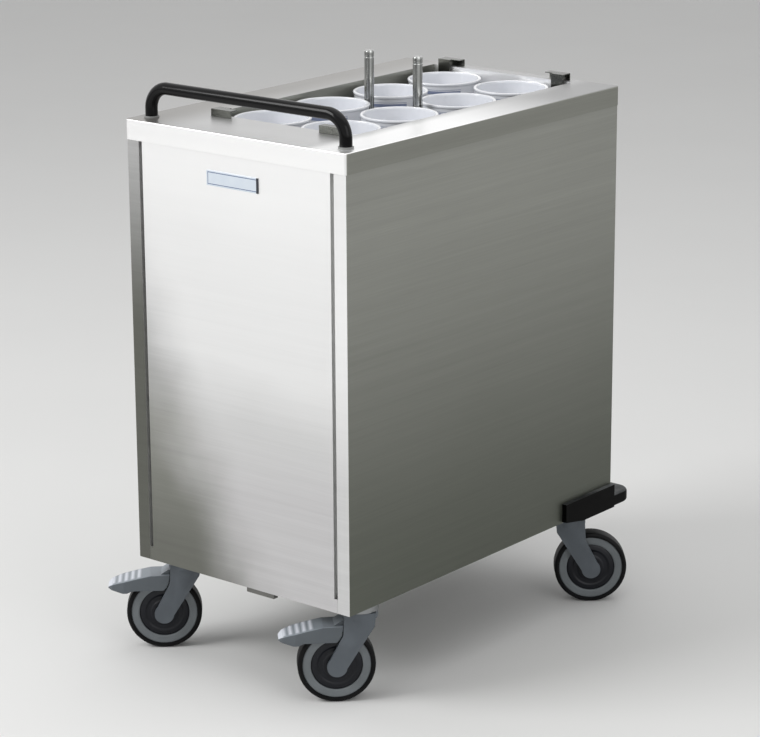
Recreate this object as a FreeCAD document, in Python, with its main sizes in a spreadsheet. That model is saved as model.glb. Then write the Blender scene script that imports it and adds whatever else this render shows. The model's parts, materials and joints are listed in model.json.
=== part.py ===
import FreeCAD, Part
import math
import os

import Sketcher

# Stack dispenser cart: a stainless steel box on four swivel castors, with a spring platform
# that carries stacks of bowls up a well in its top. Millimetres, +Z up, floor at z = 0.
# While the pieces are built, x = y = 0 is the middle of the steel box, and the handle end
# faces -Y. At the end everything moves together so that the origin lies on the floor under
# the middle of the whole cart, castors and pedals included.

Vector = FreeCAD.Vector
doc = FreeCAD.newDocument("dispenser_cart")

sizeTable = [
    # steel box
    ("body_width", 450, "outer width of the steel box"),
    ("body_length", 708, "outer length of the steel box"),
    ("panel_bottom", 167, "height of the lower edge of the panels"),
    ("rim_height", 900, "height of the top deck"),
    ("sheet_gauge", 1.5, "thickness of the outer sheets"),
    ("rim_overhang", 2, "how far the deck's skirt stands out past the panels"),
    ("skirt_depth", 33, "height of the deck's skirt"),
    ("rim_corner", 5, "radius of the deck's upright corners"),
    ("rim_edge", 2, "radius of the deck's top edge"),
    ("post_width", 24, "width of the folded post beside each end panel"),
    ("groove_width", 7, "width of the shadow groove beside an end panel"),
    ("groove_depth", 11, "depth of that groove"),
    ("groove_foot", 23, "height above the lower edge where the groove stops"),
    ("seam_gap", 0.3, "hairline seam beside the foot of an end panel"),
    ("jamb_width", 15, "width of the strip behind the groove"),
    ("lower_flange", 18, "depth of the flanges folded in at the lower edge"),
    ("pan_height", 183, "height of the underside of the base pan"),
    # well
    ("well_width", 293, "clear width of the well"),
    ("well_length", 575, "clear length of the well"),
    ("well_offset", 44.5, "how far the well's middle lies behind the box's middle"),
    ("well_flange", 18, "depth of the flange around the well"),
    ("wall_gauge", 1.2, "thickness of the well's walls"),
    # push handle
    ("handle_radius", 10, "radius of the handle's tube"),
    ("handle_reach", 200, "from the middle to each leg of the handle"),
    ("handle_front", 323.5, "from the box's middle forward to the handle's legs"),
    ("handle_height", 949.5, "height of the middle of the handle's bar"),
    ("handle_bend", 35, "radius of the handle's bends, at the tube's middle"),
    ("handle_foot", 40, "length of each leg under the deck"),
    ("fit_gap", 0.05, "radial clearance of pieces that fit together"),
    ("collar_width", 3.5, "wall of the collar at each leg"),
    ("collar_height", 3, "height of the collar at each leg"),
    ("nut_width", 6, "wall of the nut under the deck"),
    ("nut_height", 8, "height of the nut under the deck"),
    # guide rods
    ("rod_radius", 8, "radius of the guide rods"),
    ("rod_reach", 50.8, "from the middle of the columns to each guide rod"),
    ("rod_forward", 4, "how far the rods stand in front of the well's middle"),
    ("rod_top", 973.4, "height of the rods' tips"),
    ("rod_dome", 3, "radius of the rods' rounded tips"),
    ("socket_width", 7, "wall of the rods' sockets"),
    ("socket_height", 28, "height of the rods' sockets"),
    # platform
    ("tray_gap", 3, "gap between the platform and the well's flange"),
    ("tray_rim", 18, "depth of the platform's folded rim"),
    ("rib_width", 30, "width of the ribs under the platform"),
    ("bush_width", 4, "wall of the platform's bushes"),
    ("bush_flange", 3, "height of the bushes' flange"),
    ("bush_depth", 34, "length of a bush under the platform"),
    # bowls
    ("bowl_radius", 63, "outer radius of a bowl's rim"),
    ("bowl_height", 58, "height of a bowl"),
    ("bowl_wall", 4, "thickness of a bowl's wall"),
    ("bowl_lip", 1.5, "how far the lip stands out"),
    ("bowl_floor", 8, "height of a bowl's inner floor"),
    ("bowl_ledge", 20, "height of the ledge that rests on the bowl below"),
    ("ledge_depth", 5, "depth of that ledge"),
    ("foot_radius", 36, "outer radius of a bowl's foot"),
    ("foot_height", 3, "height of the foot ring"),
    ("bowl_level", 893, "height of the top bowls' rims"),
    ("column_pitch", 142, "between the two columns of bowls"),
    ("column_offset", -3, "how far the columns lie off the middle"),
    ("rod_row_pitch", 153, "between the two rows beside the rods"),
    ("row_margin", 2, "from the outer rows' bowls to the well's ends"),
    # springs
    ("spring_radius", 5, "outer radius of a spring"),
    ("spring_wire", 1.4, "thickness of the spring's wire"),
    ("spring_inner", 114, "from the middle to the nearer springs"),
    ("spring_outer", 127, "from the middle to the further springs"),
    ("spring_inset", 5.5, "from the well's edge to the springs' middle"),
    ("eye_height", 4, "height of the eyes that the springs hook on"),
    ("hanger_reach", 91, "from the middle to a hanger's near end"),
    ("hanger_width", 42, "width of a hanger"),
    ("hanger_tongue", 25, "width of the part that reaches into the well"),
    ("hanger_rise", 12, "height of a hanger above the deck"),
    ("hanger_depth", 15, "how far a hanger reaches back over the deck"),
    ("hanger_drop", 18, "how far its leg hangs under the deck's face"),
    ("hanger_gauge", 1.5, "thickness of the hangers"),
    # castors
    ("castor_reach", 187, "from the middle to the castors' swivel axes, across"),
    ("castor_span", 284, "from the middle to the castors' swivel axes, along"),
    ("castor_seat", 171, "height of the face that the castors bolt to"),
    ("rail_inside", 45, "from the castors' axes to the inner edges of the rails above them"),
    ("rail_margin", 25, "from the rails' outer edges to the body's ends"),
    ("rail_gauge", 2.5, "thickness of the rails"),
    ("head_radius", 30, "radius of the swivel head's race"),
    ("race_height", 11, "height of that race"),
    ("neck_radius", 17, "radius of the swivel head's neck"),
    ("fork_top", 152, "height of the top of the fork"),
    ("head_gap", 0.5, "gap between the fork and the swivel head"),
    ("crown_gauge", 12, "thickness of the fork's crown"),
    ("pin_radius", 9, "radius of the kingpin"),
    ("bolt_radius", 5, "radius of the bolt through the kingpin"),
    ("bolt_head", 12, "radius of the bolt's head and washer"),
    ("bolt_head_height", 4, "height of that head"),
    ("wheel_radius", 62.5, "radius of a castor's wheel"),
    ("wheel_width", 32, "width of the tyre"),
    ("trail", 38, "from the swivel axis to the axle"),
    ("fork_gap", 19.5, "from the wheel's middle to the inside of a fork leg"),
    ("fork_leg", 6.5, "thickness of a fork leg"),
    ("fork_end", 16, "radius of the rounded end of a fork leg"),
    ("axle_radius", 6, "radius of the axle"),
    ("axle_grip", 4, "how far the axle reaches into each leg"),
    ("hub_radius", 14, "radius of the wheel's hub"),
    ("web_width", 10, "thickness of the wheel's web"),
    ("ring_inner", 41.5, "inner radius of the wheel's ring"),
    ("ring_outer", 55, "outer radius of the wheel's ring"),
    ("ring_width", 29, "width of the wheel's ring"),
    ("tyre_shoulder", 6, "radius of the tyre's shoulders"),
    ("cover_rise", 3.5, "how far a hub cover bulges"),
    # castor headings: which way each wheel trails, counted from +X towards +Y
    ("heading_front_left", 222, "degrees"),
    ("heading_front_right", 224, "degrees"),
    ("heading_rear_left", 140, "degrees"),
    ("heading_rear_right", 40, "degrees"),
    # brake pedals
    ("pedal_length", 130, "from the swivel axis to the pedal's tip"),
    ("pedal_half", 24, "half the width of a pedal"),
    ("pedal_gauge", 3, "thickness of a pedal's walls"),
    ("pedal_pin", 3.5, "radius of the pedal's pivot"),
    ("pivot_ahead", 22, "from the swivel axis to the pivot"),
    ("pivot_height", 133, "height of the pivot"),
    # bumpers, plate and small parts
    ("bumper_low", 160, "height of the bumpers' underside"),
    ("bumper_height", 41, "height of a bumper's blade along the side"),
    ("bumper_slant", 9, "how much higher the blade's underside starts"),
    ("bumper_slope", 52, "length over which that underside comes down"),
    ("bumper_bar", 23, "height of a bumper's bar at the rear"),
    ("bumper_side", 9, "how far the bumpers stand out at the sides"),
    ("bumper_rear", 56, "how far the bumpers stand out at the rear"),
    ("bumper_leg", 143, "length of a bumper along the side"),
    ("bumper_across", 150, "length of a bumper across the rear"),
    ("bumper_corner", 26, "radius of the bumpers' outer corner"),
    ("bumper_edge", 6, "radius of the rear bar's outer edges"),
    ("plate_width", 106, "width of the name plate"),
    ("plate_height", 24, "height of the name plate"),
    ("plate_low", 815.5, "height of the name plate's lower edge"),
    ("plate_offset", -2.5, "how far the plate lies off the middle"),
    ("plate_gauge", 1.5, "thickness of the name plate"),
    ("tab_width", 57, "width of the tab under the front panel"),
    ("tab_offset", 38, "how far the tab lies off the middle"),
    ("tab_drop", 8, "height of the tab"),
    ("tab_gauge", 10, "depth of the tab"),
    ("screw_radius", 3.5, "radius of the screw heads"),
    ("screw_height", 2, "height of the screw heads"),
    ("screw_spread", 135, "from the middle to the screws in the end flanges"),
    ("screw_pitch", 150, "between the screws in the side flanges"),
]
bowlsBelow = 3  # bowls in each stack under the top one

sheet = doc.addObject("Spreadsheet::Sheet", "Sizes")


class Size:
    """A number together with the sheet formula that gives it."""

    def __init__(self, value, text):
        self.value = value
        self.text = text

    def __add__(self, other):
        return Size(self.value + number(other), "(%s + %s)" % (self.text, words(other)))

    def __sub__(self, other):
        return Size(self.value - number(other), "(%s - %s)" % (self.text, words(other)))

    def __mul__(self, other):
        return Size(self.value * number(other), "(%s * %s)" % (self.text, words(other)))

    def __truediv__(self, other):
        return Size(self.value / number(other), "(%s / %s)" % (self.text, words(other)))

    def __neg__(self):
        return Size(-self.value, "(0 - %s)" % self.text)

    def __radd__(self, other):
        return Size(number(other) + self.value, "(%s + %s)" % (words(other), self.text))

    def __rsub__(self, other):
        return Size(number(other) - self.value, "(%s - %s)" % (words(other), self.text))

    __rmul__ = __mul__


def number(size):
    return size.value if isinstance(size, Size) else float(size)


def words(size):
    return size.text if isinstance(size, Size) else "(0 + %.9g)" % size


def cosine(angle):
    return Size(math.cos(math.radians(angle.value)), "cos(%s)" % angle.text)


def sine(angle):
    return Size(math.sin(math.radians(angle.value)), "sin(%s)" % angle.text)


class Sizes:
    """The sheet's cells, one attribute for each."""


s = Sizes()
for row, (alias, value, note) in enumerate(sizeTable, start=1):
    sheet.set("A%d" % row, note)
    sheet.set("B%d" % row, str(value))
    sheet.setAlias("B%d" % row, alias)
    setattr(s, alias, Size(float(value), "Sizes." + alias))
doc.recompute()

nodes = []  # the finished pieces, in the order in which they are made


def bind(feature, place, size):
    feature.setExpression(place, words(size))


def new_feature(kind, name):
    return doc.addObject(kind, name)


def put(feature, x=0, y=0, z=0):
    """Places a feature by formulas, keeping the way it is turned."""
    for axis, size in (("x", x), ("y", y), ("z", z)):
        bind(feature, "Placement.Base." + axis, size)
    return feature


def block(width, length, height, x, y, z):
    """Box whose middle stands at x, y, with its underside at z."""
    feature = new_feature("Part::Box", "block")
    bind(feature, "Length", width)
    bind(feature, "Width", length)
    bind(feature, "Height", height)
    return put(feature, x - width / 2, y - length / 2, z)


def post(radius, height, x, y, z):
    """Upright cylinder with its foot at x, y, z."""
    feature = new_feature("Part::Cylinder", "post")
    bind(feature, "Radius", radius)
    bind(feature, "Height", height)
    return put(feature, x, y, z)


def crossbar(radius, length, x, y, z):
    """Cylinder along Y with its middle at x, y, z."""
    feature = new_feature("Part::Cylinder", "crossbar")
    feature.Placement = FreeCAD.Placement(Vector(), FreeCAD.Rotation(Vector(1, 0, 0), -90))
    bind(feature, "Radius", radius)
    bind(feature, "Height", length)
    return put(feature, x, y - length / 2, z)


def join(*shapes):
    feature = new_feature("Part::MultiFuse", "join")
    feature.Shapes = list(shapes)
    return feature


def cut(base, *tools):
    feature = new_feature("Part::Cut", "cut")
    feature.Base = base
    feature.Tool = tools[0] if len(tools) == 1 else join(*tools)
    return feature


def group(*solids):
    """Separate solids in one node."""
    feature = new_feature("Part::Compound", "set")
    feature.Links = list(solids)
    return feature


def node(label, feature):
    feature.Label = label
    nodes.append(feature)
    return feature


def outline(body, role, points):
    """Closed sketch of straight lines through points, each held by its two distances."""
    sketch = body.newObject("Sketcher::SketchObject", "outline")
    plane = [item for item in body.Origin.OriginFeatures if item.Role == role][0]
    sketch.AttachmentSupport = [(plane, "")]
    sketch.MapMode = "FlatFace"
    count = len(points)
    corners = [Vector(number(across), number(up), 0) for across, up in points]
    for k in range(count):
        sketch.addGeometry(Part.LineSegment(corners[k], corners[(k + 1) % count]), False)
    for k in range(count):
        sketch.addConstraint(Sketcher.Constraint("Coincident", k, 2, (k + 1) % count, 1))
    for k, place in enumerate(points):
        for kind, size in zip(("DistanceX", "DistanceY"), place):
            held = Sketcher.Constraint(kind, -1, 1, k, 1, number(size))
            where = sketch.addConstraint(held)
            if isinstance(size, Size):
                bind(sketch, "Constraints[%d]" % where, size)
    return sketch


def turned(name, role, points):
    """Solid turned about the upright axis of the sketch."""
    body = new_feature("PartDesign::Body", name)
    turn = body.newObject("PartDesign::Revolution", "turn")
    turn.Profile = outline(body, role, points)
    turn.ReferenceAxis = (turn.Profile[0], ["V_Axis"])
    turn.Angle = 360
    body.Tip = turn
    return body


def prism(name, role, points, length, middle=False):
    """Solid of one outline, from the sketch's plane or about its middle."""
    body = new_feature("PartDesign::Body", name)
    pad = body.newObject("PartDesign::Pad", "pad")
    pad.Profile = outline(body, role, points)
    bind(pad, "Length", length)
    if middle:
        pad.SideType = "Symmetric"
    body.Tip = pad
    doc.recompute()
    return body


def rounded(body, radius, wanted):
    """Rounds the edges of the body's last feature for which wanted(edge) is true."""
    base = body.Tip
    names = ["Edge%d" % (k + 1) for k, edge in enumerate(base.Shape.Edges) if wanted(edge)]
    fillet = body.newObject("PartDesign::Fillet", "round")
    fillet.Base = (base, names)
    bind(fillet, "Radius", radius)
    body.Tip = fillet
    doc.recompute()
    return body


def is_upright(edge):
    return isinstance(edge.Curve, Part.Line) and abs(edge.Curve.Direction.z) > 0.99


def lies_at(height):
    return lambda edge: max(abs(vertex.Z - height) for vertex in edge.Vertexes) < 0.01


def rectangle(width, length):
    return [
        (-width / 2, -length / 2),
        (width / 2, -length / 2),
        (width / 2, length / 2),
        (-width / 2, length / 2),
    ]


# Heights and reaches that several pieces share
halfWidth = s.body_width / 2
halfLength = s.body_length / 2
deckUnder = s.rim_height - s.sheet_gauge
panelHeight = deckUnder - s.panel_bottom
panTop = s.pan_height + s.sheet_gauge
jambFace = halfLength - s.groove_depth
jambBack = jambFace - s.sheet_gauge
postEdge = halfWidth - s.post_width
wellFront = s.well_offset - s.well_length / 2
wellRear = s.well_offset + s.well_length / 2
stackPitch = s.bowl_height - s.bowl_ledge
topBowlFoot = s.bowl_level - s.bowl_height
trayTop = topBowlFoot - bowlsBelow * stackPitch
plateFront = -halfLength - s.plate_gauge


def make_top_frame():
    """Deck with a skirt outside, a flange around the well and holes for the handle."""
    deck = prism(
        "deck",
        "XY_Plane",
        rectangle(s.body_width + 2 * s.rim_overhang, s.body_length + 2 * s.rim_overhang),
        s.skirt_depth,
    )
    rounded(deck, s.rim_corner, is_upright)
    rounded(deck, s.rim_edge, lies_at(number(s.skirt_depth)))
    put(deck, 0, 0, s.rim_height - s.skirt_depth)
    wallsIn = 2 * s.rim_overhang - 2 * s.sheet_gauge
    hollow = block(
        s.body_width + wallsIn,
        s.body_length + wallsIn,
        s.skirt_depth - s.sheet_gauge,
        0,
        0,
        s.rim_height - s.skirt_depth,
    )
    flange = block(
        s.well_width + 2 * s.sheet_gauge,
        s.well_length + 2 * s.sheet_gauge,
        s.well_flange,
        0,
        s.well_offset,
        deckUnder - s.well_flange,
    )
    well = block(
        s.well_width,
        s.well_length,
        s.well_flange + 2 * s.sheet_gauge,
        0,
        s.well_offset,
        deckUnder - s.well_flange,
    )
    holes = [
        post(
            s.handle_radius + s.fit_gap,
            2 * s.sheet_gauge,
            side * s.handle_reach,
            -s.handle_front,
            deckUnder,
        )
        for side in (-1, 1)
    ]
    return cut(join(cut(deck, hollow), flange), well, *holes)


node("top_frame", make_top_frame())


def make_side_panel(side):
    """Side sheet folded round both ends into posts, with a strip behind each groove."""
    jambEdge = postEdge - s.jamb_width
    inner = postEdge + s.sheet_gauge
    outside = [
        (jambEdge, -jambFace),
        (postEdge, -jambFace),
        (postEdge, -halfLength),
        (halfWidth, -halfLength),
        (halfWidth, halfLength),
        (postEdge, halfLength),
        (postEdge, jambFace),
        (jambEdge, jambFace),
    ]
    inside = [
        (jambEdge, jambBack),
        (inner, jambBack),
        (inner, halfLength - s.sheet_gauge),
        (halfWidth - s.sheet_gauge, halfLength - s.sheet_gauge),
        (halfWidth - s.sheet_gauge, s.sheet_gauge - halfLength),
        (inner, s.sheet_gauge - halfLength),
        (inner, -jambBack),
        (jambEdge, -jambBack),
    ]
    points = [(side * x, y) for x, y in outside + inside]
    folded = put(prism("side", "XY_Plane", points, panelHeight), 0, 0, s.panel_bottom)
    flange = block(
        s.lower_flange,
        2 * jambBack - 2 * s.sheet_gauge,
        s.sheet_gauge,
        side * (halfWidth - s.sheet_gauge - s.lower_flange / 2),
        0,
        s.panel_bottom,
    )
    return join(folded, flange)


for name, side in (("left_side_panel", -1), ("right_side_panel", 1)):
    node(name, make_side_panel(side))


def make_end_panel(end):
    """Flat end sheet between the posts, folded back along both grooves and at its foot."""
    face = postEdge - s.groove_width
    foot = postEdge - s.seam_gap
    step = s.groove_foot
    points = [
        (-foot, 0),
        (foot, 0),
        (foot, step),
        (face, step),
        (face, panelHeight),
        (-face, panelHeight),
        (-face, step),
        (-foot, step),
    ]
    plate = prism("end", "XZ_Plane", points, s.sheet_gauge)
    # the sketch's pad runs towards -Y, so the plate's outer face is at its far side
    shift = -halfLength + s.sheet_gauge if end < 0 else halfLength
    put(plate, 0, shift, s.panel_bottom)
    folds = [
        block(
            s.sheet_gauge,
            s.groove_depth - s.sheet_gauge,
            panelHeight - step,
            side * (face - s.sheet_gauge / 2),
            end * (halfLength - s.sheet_gauge / 2 - s.groove_depth / 2),
            s.panel_bottom + step,
        )
        for side in (-1, 1)
    ]
    flange = block(
        2 * (postEdge - s.jamb_width) - 2 * s.sheet_gauge,
        s.lower_flange,
        s.sheet_gauge,
        0,
        end * (halfLength - s.sheet_gauge - s.lower_flange / 2),
        s.panel_bottom,
    )
    return join(plate, flange, *folds)


for name, end in (("front_panel", -1), ("rear_panel", 1)):
    node(name, make_end_panel(end))


def make_well_walls():
    """Four sheets that hang inside the box from the deck down to the base pan."""
    height = deckUnder - panTop
    wallIn = s.well_width / 2 + s.sheet_gauge
    span = s.well_length + 2 * s.sheet_gauge
    sides = [
        block(
            s.wall_gauge,
            span + 2 * s.wall_gauge,
            height,
            side * (wallIn + s.wall_gauge / 2),
            s.well_offset,
            panTop,
        )
        for side in (-1, 1)
    ]
    ends = [
        block(
            2 * wallIn,
            s.wall_gauge,
            height,
            0,
            s.well_offset + end * (span / 2 + s.wall_gauge / 2),
            panTop,
        )
        for end in (-1, 1)
    ]
    node("well_side_walls", group(*sides))
    node("well_end_walls", group(*ends))


make_well_walls()

node(
    "base_pan",
    block(s.body_width - 2 * s.sheet_gauge, 2 * jambBack, s.sheet_gauge, 0, 0, s.pan_height),
)


def make_rail(end):
    """Upturned channel under the base pan, with a hole for each castor's bolt."""
    width = s.body_width - 2 * s.sheet_gauge
    inside = s.castor_span - s.rail_inside
    outside = halfLength - s.rail_margin
    middle = end * (inside + outside) / 2
    bar = block(width, outside - inside, s.pan_height - s.castor_seat, 0, middle, s.castor_seat)
    trough = block(
        width,
        outside - inside - 2 * s.rail_gauge,
        s.pan_height - s.castor_seat,
        0,
        middle,
        s.castor_seat + s.rail_gauge,
    )
    holes = [
        post(
            s.bolt_radius + s.fit_gap,
            2 * s.rail_gauge,
            side * s.castor_reach,
            end * s.castor_span,
            s.castor_seat - s.rail_gauge / 2,
        )
        for side in (-1, 1)
    ]
    return cut(bar, trough, *holes)


node("castor_rails", group(make_rail(-1), make_rail(1)))


def bend(side):
    """Quarter of a torus: one corner of the handle."""
    corner = new_feature("Part::Torus", "bend")
    bind(corner, "Radius1", s.handle_bend)
    bind(corner, "Radius2", s.handle_radius)
    corner.Angle3 = 90
    # its quarter circle is stood upright, and turned about for the left side
    turn = FreeCAD.Rotation(Vector(1, 0, 0), 90)
    if side < 0:
        turn = FreeCAD.Rotation(Vector(0, 0, 1), 180) * turn
    corner.Placement = FreeCAD.Placement(Vector(), turn)
    return put(
        corner,
        side * (s.handle_reach - s.handle_bend),
        -s.handle_front,
        s.handle_height - s.handle_bend,
    )


def make_handle():
    """Round tube: two legs through the deck, two bends and the bar across."""
    bar = new_feature("Part::Cylinder", "bar")
    bar.Placement = FreeCAD.Placement(Vector(), FreeCAD.Rotation(Vector(0, 1, 0), 90))
    bind(bar, "Radius", s.handle_radius)
    bind(bar, "Height", 2 * (s.handle_reach - s.handle_bend))
    put(bar, s.handle_bend - s.handle_reach, -s.handle_front, s.handle_height)
    footLevel = s.rim_height - s.handle_foot
    legs = [
        post(
            s.handle_radius,
            s.handle_height - s.handle_bend - footLevel,
            side * s.handle_reach,
            -s.handle_front,
            footLevel,
        )
        for side in (-1, 1)
    ]
    return join(bar, bend(-1), bend(1), *legs)


def make_rings(wall, height, level):
    """A ring round each leg of the handle."""
    rings = []
    for side in (-1, 1):
        x = side * s.handle_reach
        outer = post(s.handle_radius + s.fit_gap + wall, height, x, -s.handle_front, level)
        inner = post(s.handle_radius + s.fit_gap, height, x, -s.handle_front, level)
        rings.append(cut(outer, inner))
    return group(*rings)


node("push_handle", make_handle())
node("handle_collars", make_rings(s.collar_width, s.collar_height, s.rim_height))
node("handle_nuts", make_rings(s.nut_width, s.nut_height, deckUnder - s.nut_height))


rodLine = s.well_offset - s.rod_forward


def rod_at(side):
    """How far to the side a guide rod stands."""
    return s.column_offset + side * s.rod_reach


def make_rod(side):
    """Guide rod standing on the base pan, with a rounded tip."""
    body = turned(
        "rod",
        "XZ_Plane",
        [(0, 0), (s.rod_radius, 0), (s.rod_radius, s.rod_top - panTop), (0, s.rod_top - panTop)],
    )
    doc.recompute()
    rounded(body, s.rod_dome, lies_at(number(s.rod_top - panTop)))
    return put(body, rod_at(side), rodLine, panTop)


def make_socket(side):
    bore = s.rod_radius + s.fit_gap
    outer = post(bore + s.socket_width, s.socket_height, rod_at(side), rodLine, panTop)
    inner = post(bore, s.socket_height, rod_at(side), rodLine, panTop)
    return cut(outer, inner)


node("guide_rods", group(make_rod(-1), make_rod(1)))
node("rod_sockets", group(make_socket(-1), make_socket(1)))


def corners():
    """The four corners of the well: side, end and the well's edge there."""
    for end, edge in ((-1, wellFront), (1, wellRear)):
        for side in (-1, 1):
            yield side, end, edge


def make_hanger(side, end, edge):
    """Folded clip over the well's edge, with a leg inside for two springs."""
    reach = s.hanger_reach + s.hanger_width / 2
    gauge = s.hanger_gauge
    roof = s.rim_height + s.hanger_rise - gauge
    back = block(
        s.hanger_width,
        gauge,
        s.hanger_rise,
        side * reach,
        edge + end * (s.hanger_depth - gauge / 2),
        s.rim_height,
    )
    top = block(
        s.hanger_width, s.hanger_depth, gauge, side * reach, edge + end * (s.hanger_depth / 2), roof
    )
    tongueMiddle = s.hanger_reach + s.hanger_width - s.hanger_tongue / 2
    tongueDepth = s.spring_inset + gauge / 2
    tongue = block(
        s.hanger_tongue,
        tongueDepth,
        gauge,
        side * tongueMiddle,
        edge - end * (tongueDepth / 2),
        roof,
    )
    leg = block(
        s.hanger_tongue,
        gauge,
        s.hanger_rise + s.hanger_drop,
        side * tongueMiddle,
        edge - end * s.spring_inset,
        s.rim_height - s.hanger_drop,
    )
    return join(back, top, tongue, leg)


node("spring_hangers", group(*[make_hanger(*corner) for corner in corners()]))


def spring_places():
    for side, end, edge in corners():
        for reach in (s.spring_inner, s.spring_outer):
            yield side * reach, edge - end * s.spring_inset


def make_spring(x, y):
    """Plain sleeve of the coil's size, from the eye on the platform up to the hanger."""
    foot = trayTop + s.eye_height
    height = s.rim_height - s.hanger_drop - foot
    coil = post(s.spring_radius, height, x, y, foot)
    core = post(s.spring_radius - s.spring_wire, height, x, y, foot)
    return cut(coil, core)


node("tension_springs", group(*[make_spring(*place) for place in spring_places()]))


def make_tray():
    """Platform: a sheet with its rim folded down, ribs under it and holes for the bushes."""
    width = s.well_width - 2 * s.tray_gap
    length = s.well_length - 2 * s.tray_gap
    low = trayTop - s.tray_rim
    slab = block(width, length, s.tray_rim, 0, s.well_offset, low)
    inset = 2 * s.sheet_gauge
    under = block(
        width - inset, length - inset, s.tray_rim - s.sheet_gauge, 0, s.well_offset, low
    )
    ribs = [
        block(
            s.rib_width,
            length - inset,
            s.tray_rim / 2,
            rod_at(side) + side * s.rib_width,
            s.well_offset,
            trayTop - s.sheet_gauge - s.tray_rim / 2,
        )
        for side in (-1, 1)
    ]
    bore = s.rod_radius + s.bush_width + 2 * s.fit_gap
    holes = [post(bore, s.tray_rim, rod_at(side), rodLine, low) for side in (-1, 1)]
    return cut(join(cut(slab, under), *ribs), *holes)


def make_bush(side):
    """Sliding bush with a flange on the platform."""
    x = rod_at(side)
    low = trayTop - s.bush_depth
    barrel = s.rod_radius + s.fit_gap + s.bush_width
    sleeve = post(barrel, s.bush_depth + s.bush_flange, x, rodLine, low)
    brim = post(barrel + s.bush_width, s.bush_flange, x, rodLine, trayTop)
    bore = post(s.rod_radius + s.fit_gap, s.bush_depth + s.bush_flange, x, rodLine, low)
    return cut(join(sleeve, brim), bore)


def make_eye(x, y):
    return post(s.spring_radius - s.spring_wire, s.eye_height, x, y, trayTop)


node("platform_tray", make_tray())
node("platform_bushes", group(make_bush(-1), make_bush(1)))
node("spring_eyes", group(*[make_eye(*place) for place in spring_places()]))


def make_bowl(name):
    """Stacking bowl: foot ring, curved belly, ledge, nearly straight wall and a lip."""
    wall = s.bowl_radius - s.bowl_lip
    ledge = wall - 1
    belly = ledge - s.ledge_depth
    inner = wall - s.bowl_wall
    return turned(
        name,
        "XZ_Plane",
        [
            (0, s.foot_height),
            (s.foot_radius - s.bowl_wall, s.foot_height),
            (s.foot_radius - s.bowl_wall, 0),
            (s.foot_radius, 0),
            (s.foot_radius + 1, s.foot_height),
            (belly - 8, s.bowl_ledge / 2 - 2),
            (belly - 2, s.bowl_ledge / 2 + 3),
            (belly, s.bowl_ledge - 3),
            (belly, s.bowl_ledge),
            (ledge, s.bowl_ledge),
            (wall, s.bowl_height - 5),
            (s.bowl_radius, s.bowl_height - 3),
            (s.bowl_radius, s.bowl_height - 1),
            (s.bowl_radius - 1, s.bowl_height),
            (inner + 0.7, s.bowl_height),
            (inner, s.bowl_height - 2),
            (inner - 0.5, s.bowl_ledge + 10),
            (inner - 2.5, s.bowl_ledge + 3),
            (belly - 8, s.bowl_floor + 4),
            (s.foot_radius - s.bowl_wall, s.bowl_floor + 0.5),
            (0, s.bowl_floor),
        ],
    )


def stack_places():
    """The eight stacks: two columns by four rows, with the rods between rows 2 and 3."""
    near = s.rod_row_pitch / 2
    far = s.well_length / 2 - s.row_margin - s.bowl_radius
    for shift in (-far, -near, near, far):
        for side in (-1, 1):
            yield s.column_offset + side * s.column_pitch / 2, s.well_offset + shift


bowlPattern = make_bowl("bowl_pattern")
lowerBowls = []
for place, (x, y) in enumerate(stack_places(), start=1):
    for level in range(bowlsBelow):
        bowl = new_feature("App::Link", "lower_bowl")
        bowl.LinkedObject = bowlPattern
        lowerBowls.append(put(bowl, x, y, trayTop + level * stackPitch))
    node("top_bowl_%d" % place, put(make_bowl("bowl"), x, y, topBowlFoot))
node("lower_bowls", group(*lowerBowls))


def make_bumper(side):
    """Corner bumper: a blade along the side panel and a low bar round the rear corner."""
    outerSide = halfWidth + s.bumper_side
    outerRear = halfLength + s.bumper_rear
    start = halfLength - s.bumper_leg
    blade = prism(
        "blade",
        "YZ_Plane",
        [
            (start, s.bumper_low + s.bumper_slant),
            (start + s.bumper_slope, s.bumper_low),
            (halfLength, s.bumper_low),
            (halfLength, s.bumper_low + s.bumper_height),
            (start, s.bumper_low + s.bumper_height),
        ],
        s.bumper_side,
    )
    put(blade, halfWidth if side > 0 else -outerSide, 0, 0)
    bar = prism(
        "bar",
        "XY_Plane",
        [
            (side * halfWidth, halfLength - s.bumper_side),
            (side * outerSide, halfLength - s.bumper_side),
            (side * outerSide, outerRear),
            (side * (outerSide - s.bumper_across), outerRear),
            (side * (outerSide - s.bumper_across), halfLength),
            (side * halfWidth, halfLength),
        ],
        s.bumper_bar,
    )

    def is_corner(edge):
        far = abs(edge.Vertexes[0].X) > number(outerSide) - 0.01
        return far and edge.Vertexes[0].Y > number(outerRear) - 0.01 and is_upright(edge)

    def is_outer_rim(edge):
        middle = edge.valueAt((edge.FirstParameter + edge.LastParameter) / 2)
        outside = middle.y > number(halfLength) + 1 and not is_upright(edge)
        end = abs(middle.x - number(side * (outerSide - s.bumper_across))) < 0.01
        return outside and not end

    rounded(bar, s.bumper_corner, is_corner)
    rounded(bar, s.bumper_edge, is_outer_rim)
    return join(blade, put(bar, 0, 0, s.bumper_low))


for name, side in (("left_bumper", -1), ("right_bumper", 1)):
    node(name, make_bumper(side))

node(
    "badge_plate",
    block(
        s.plate_width,
        s.plate_gauge,
        s.plate_height,
        s.plate_offset,
        plateFront + s.plate_gauge / 2,
        s.plate_low,
    ),
)
node(
    "base_tab",
    block(
        s.tab_width,
        s.tab_gauge,
        s.tab_drop,
        s.tab_offset,
        s.sheet_gauge + s.tab_gauge / 2 - halfLength,
        s.panel_bottom - s.tab_drop,
    ),
)


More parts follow.
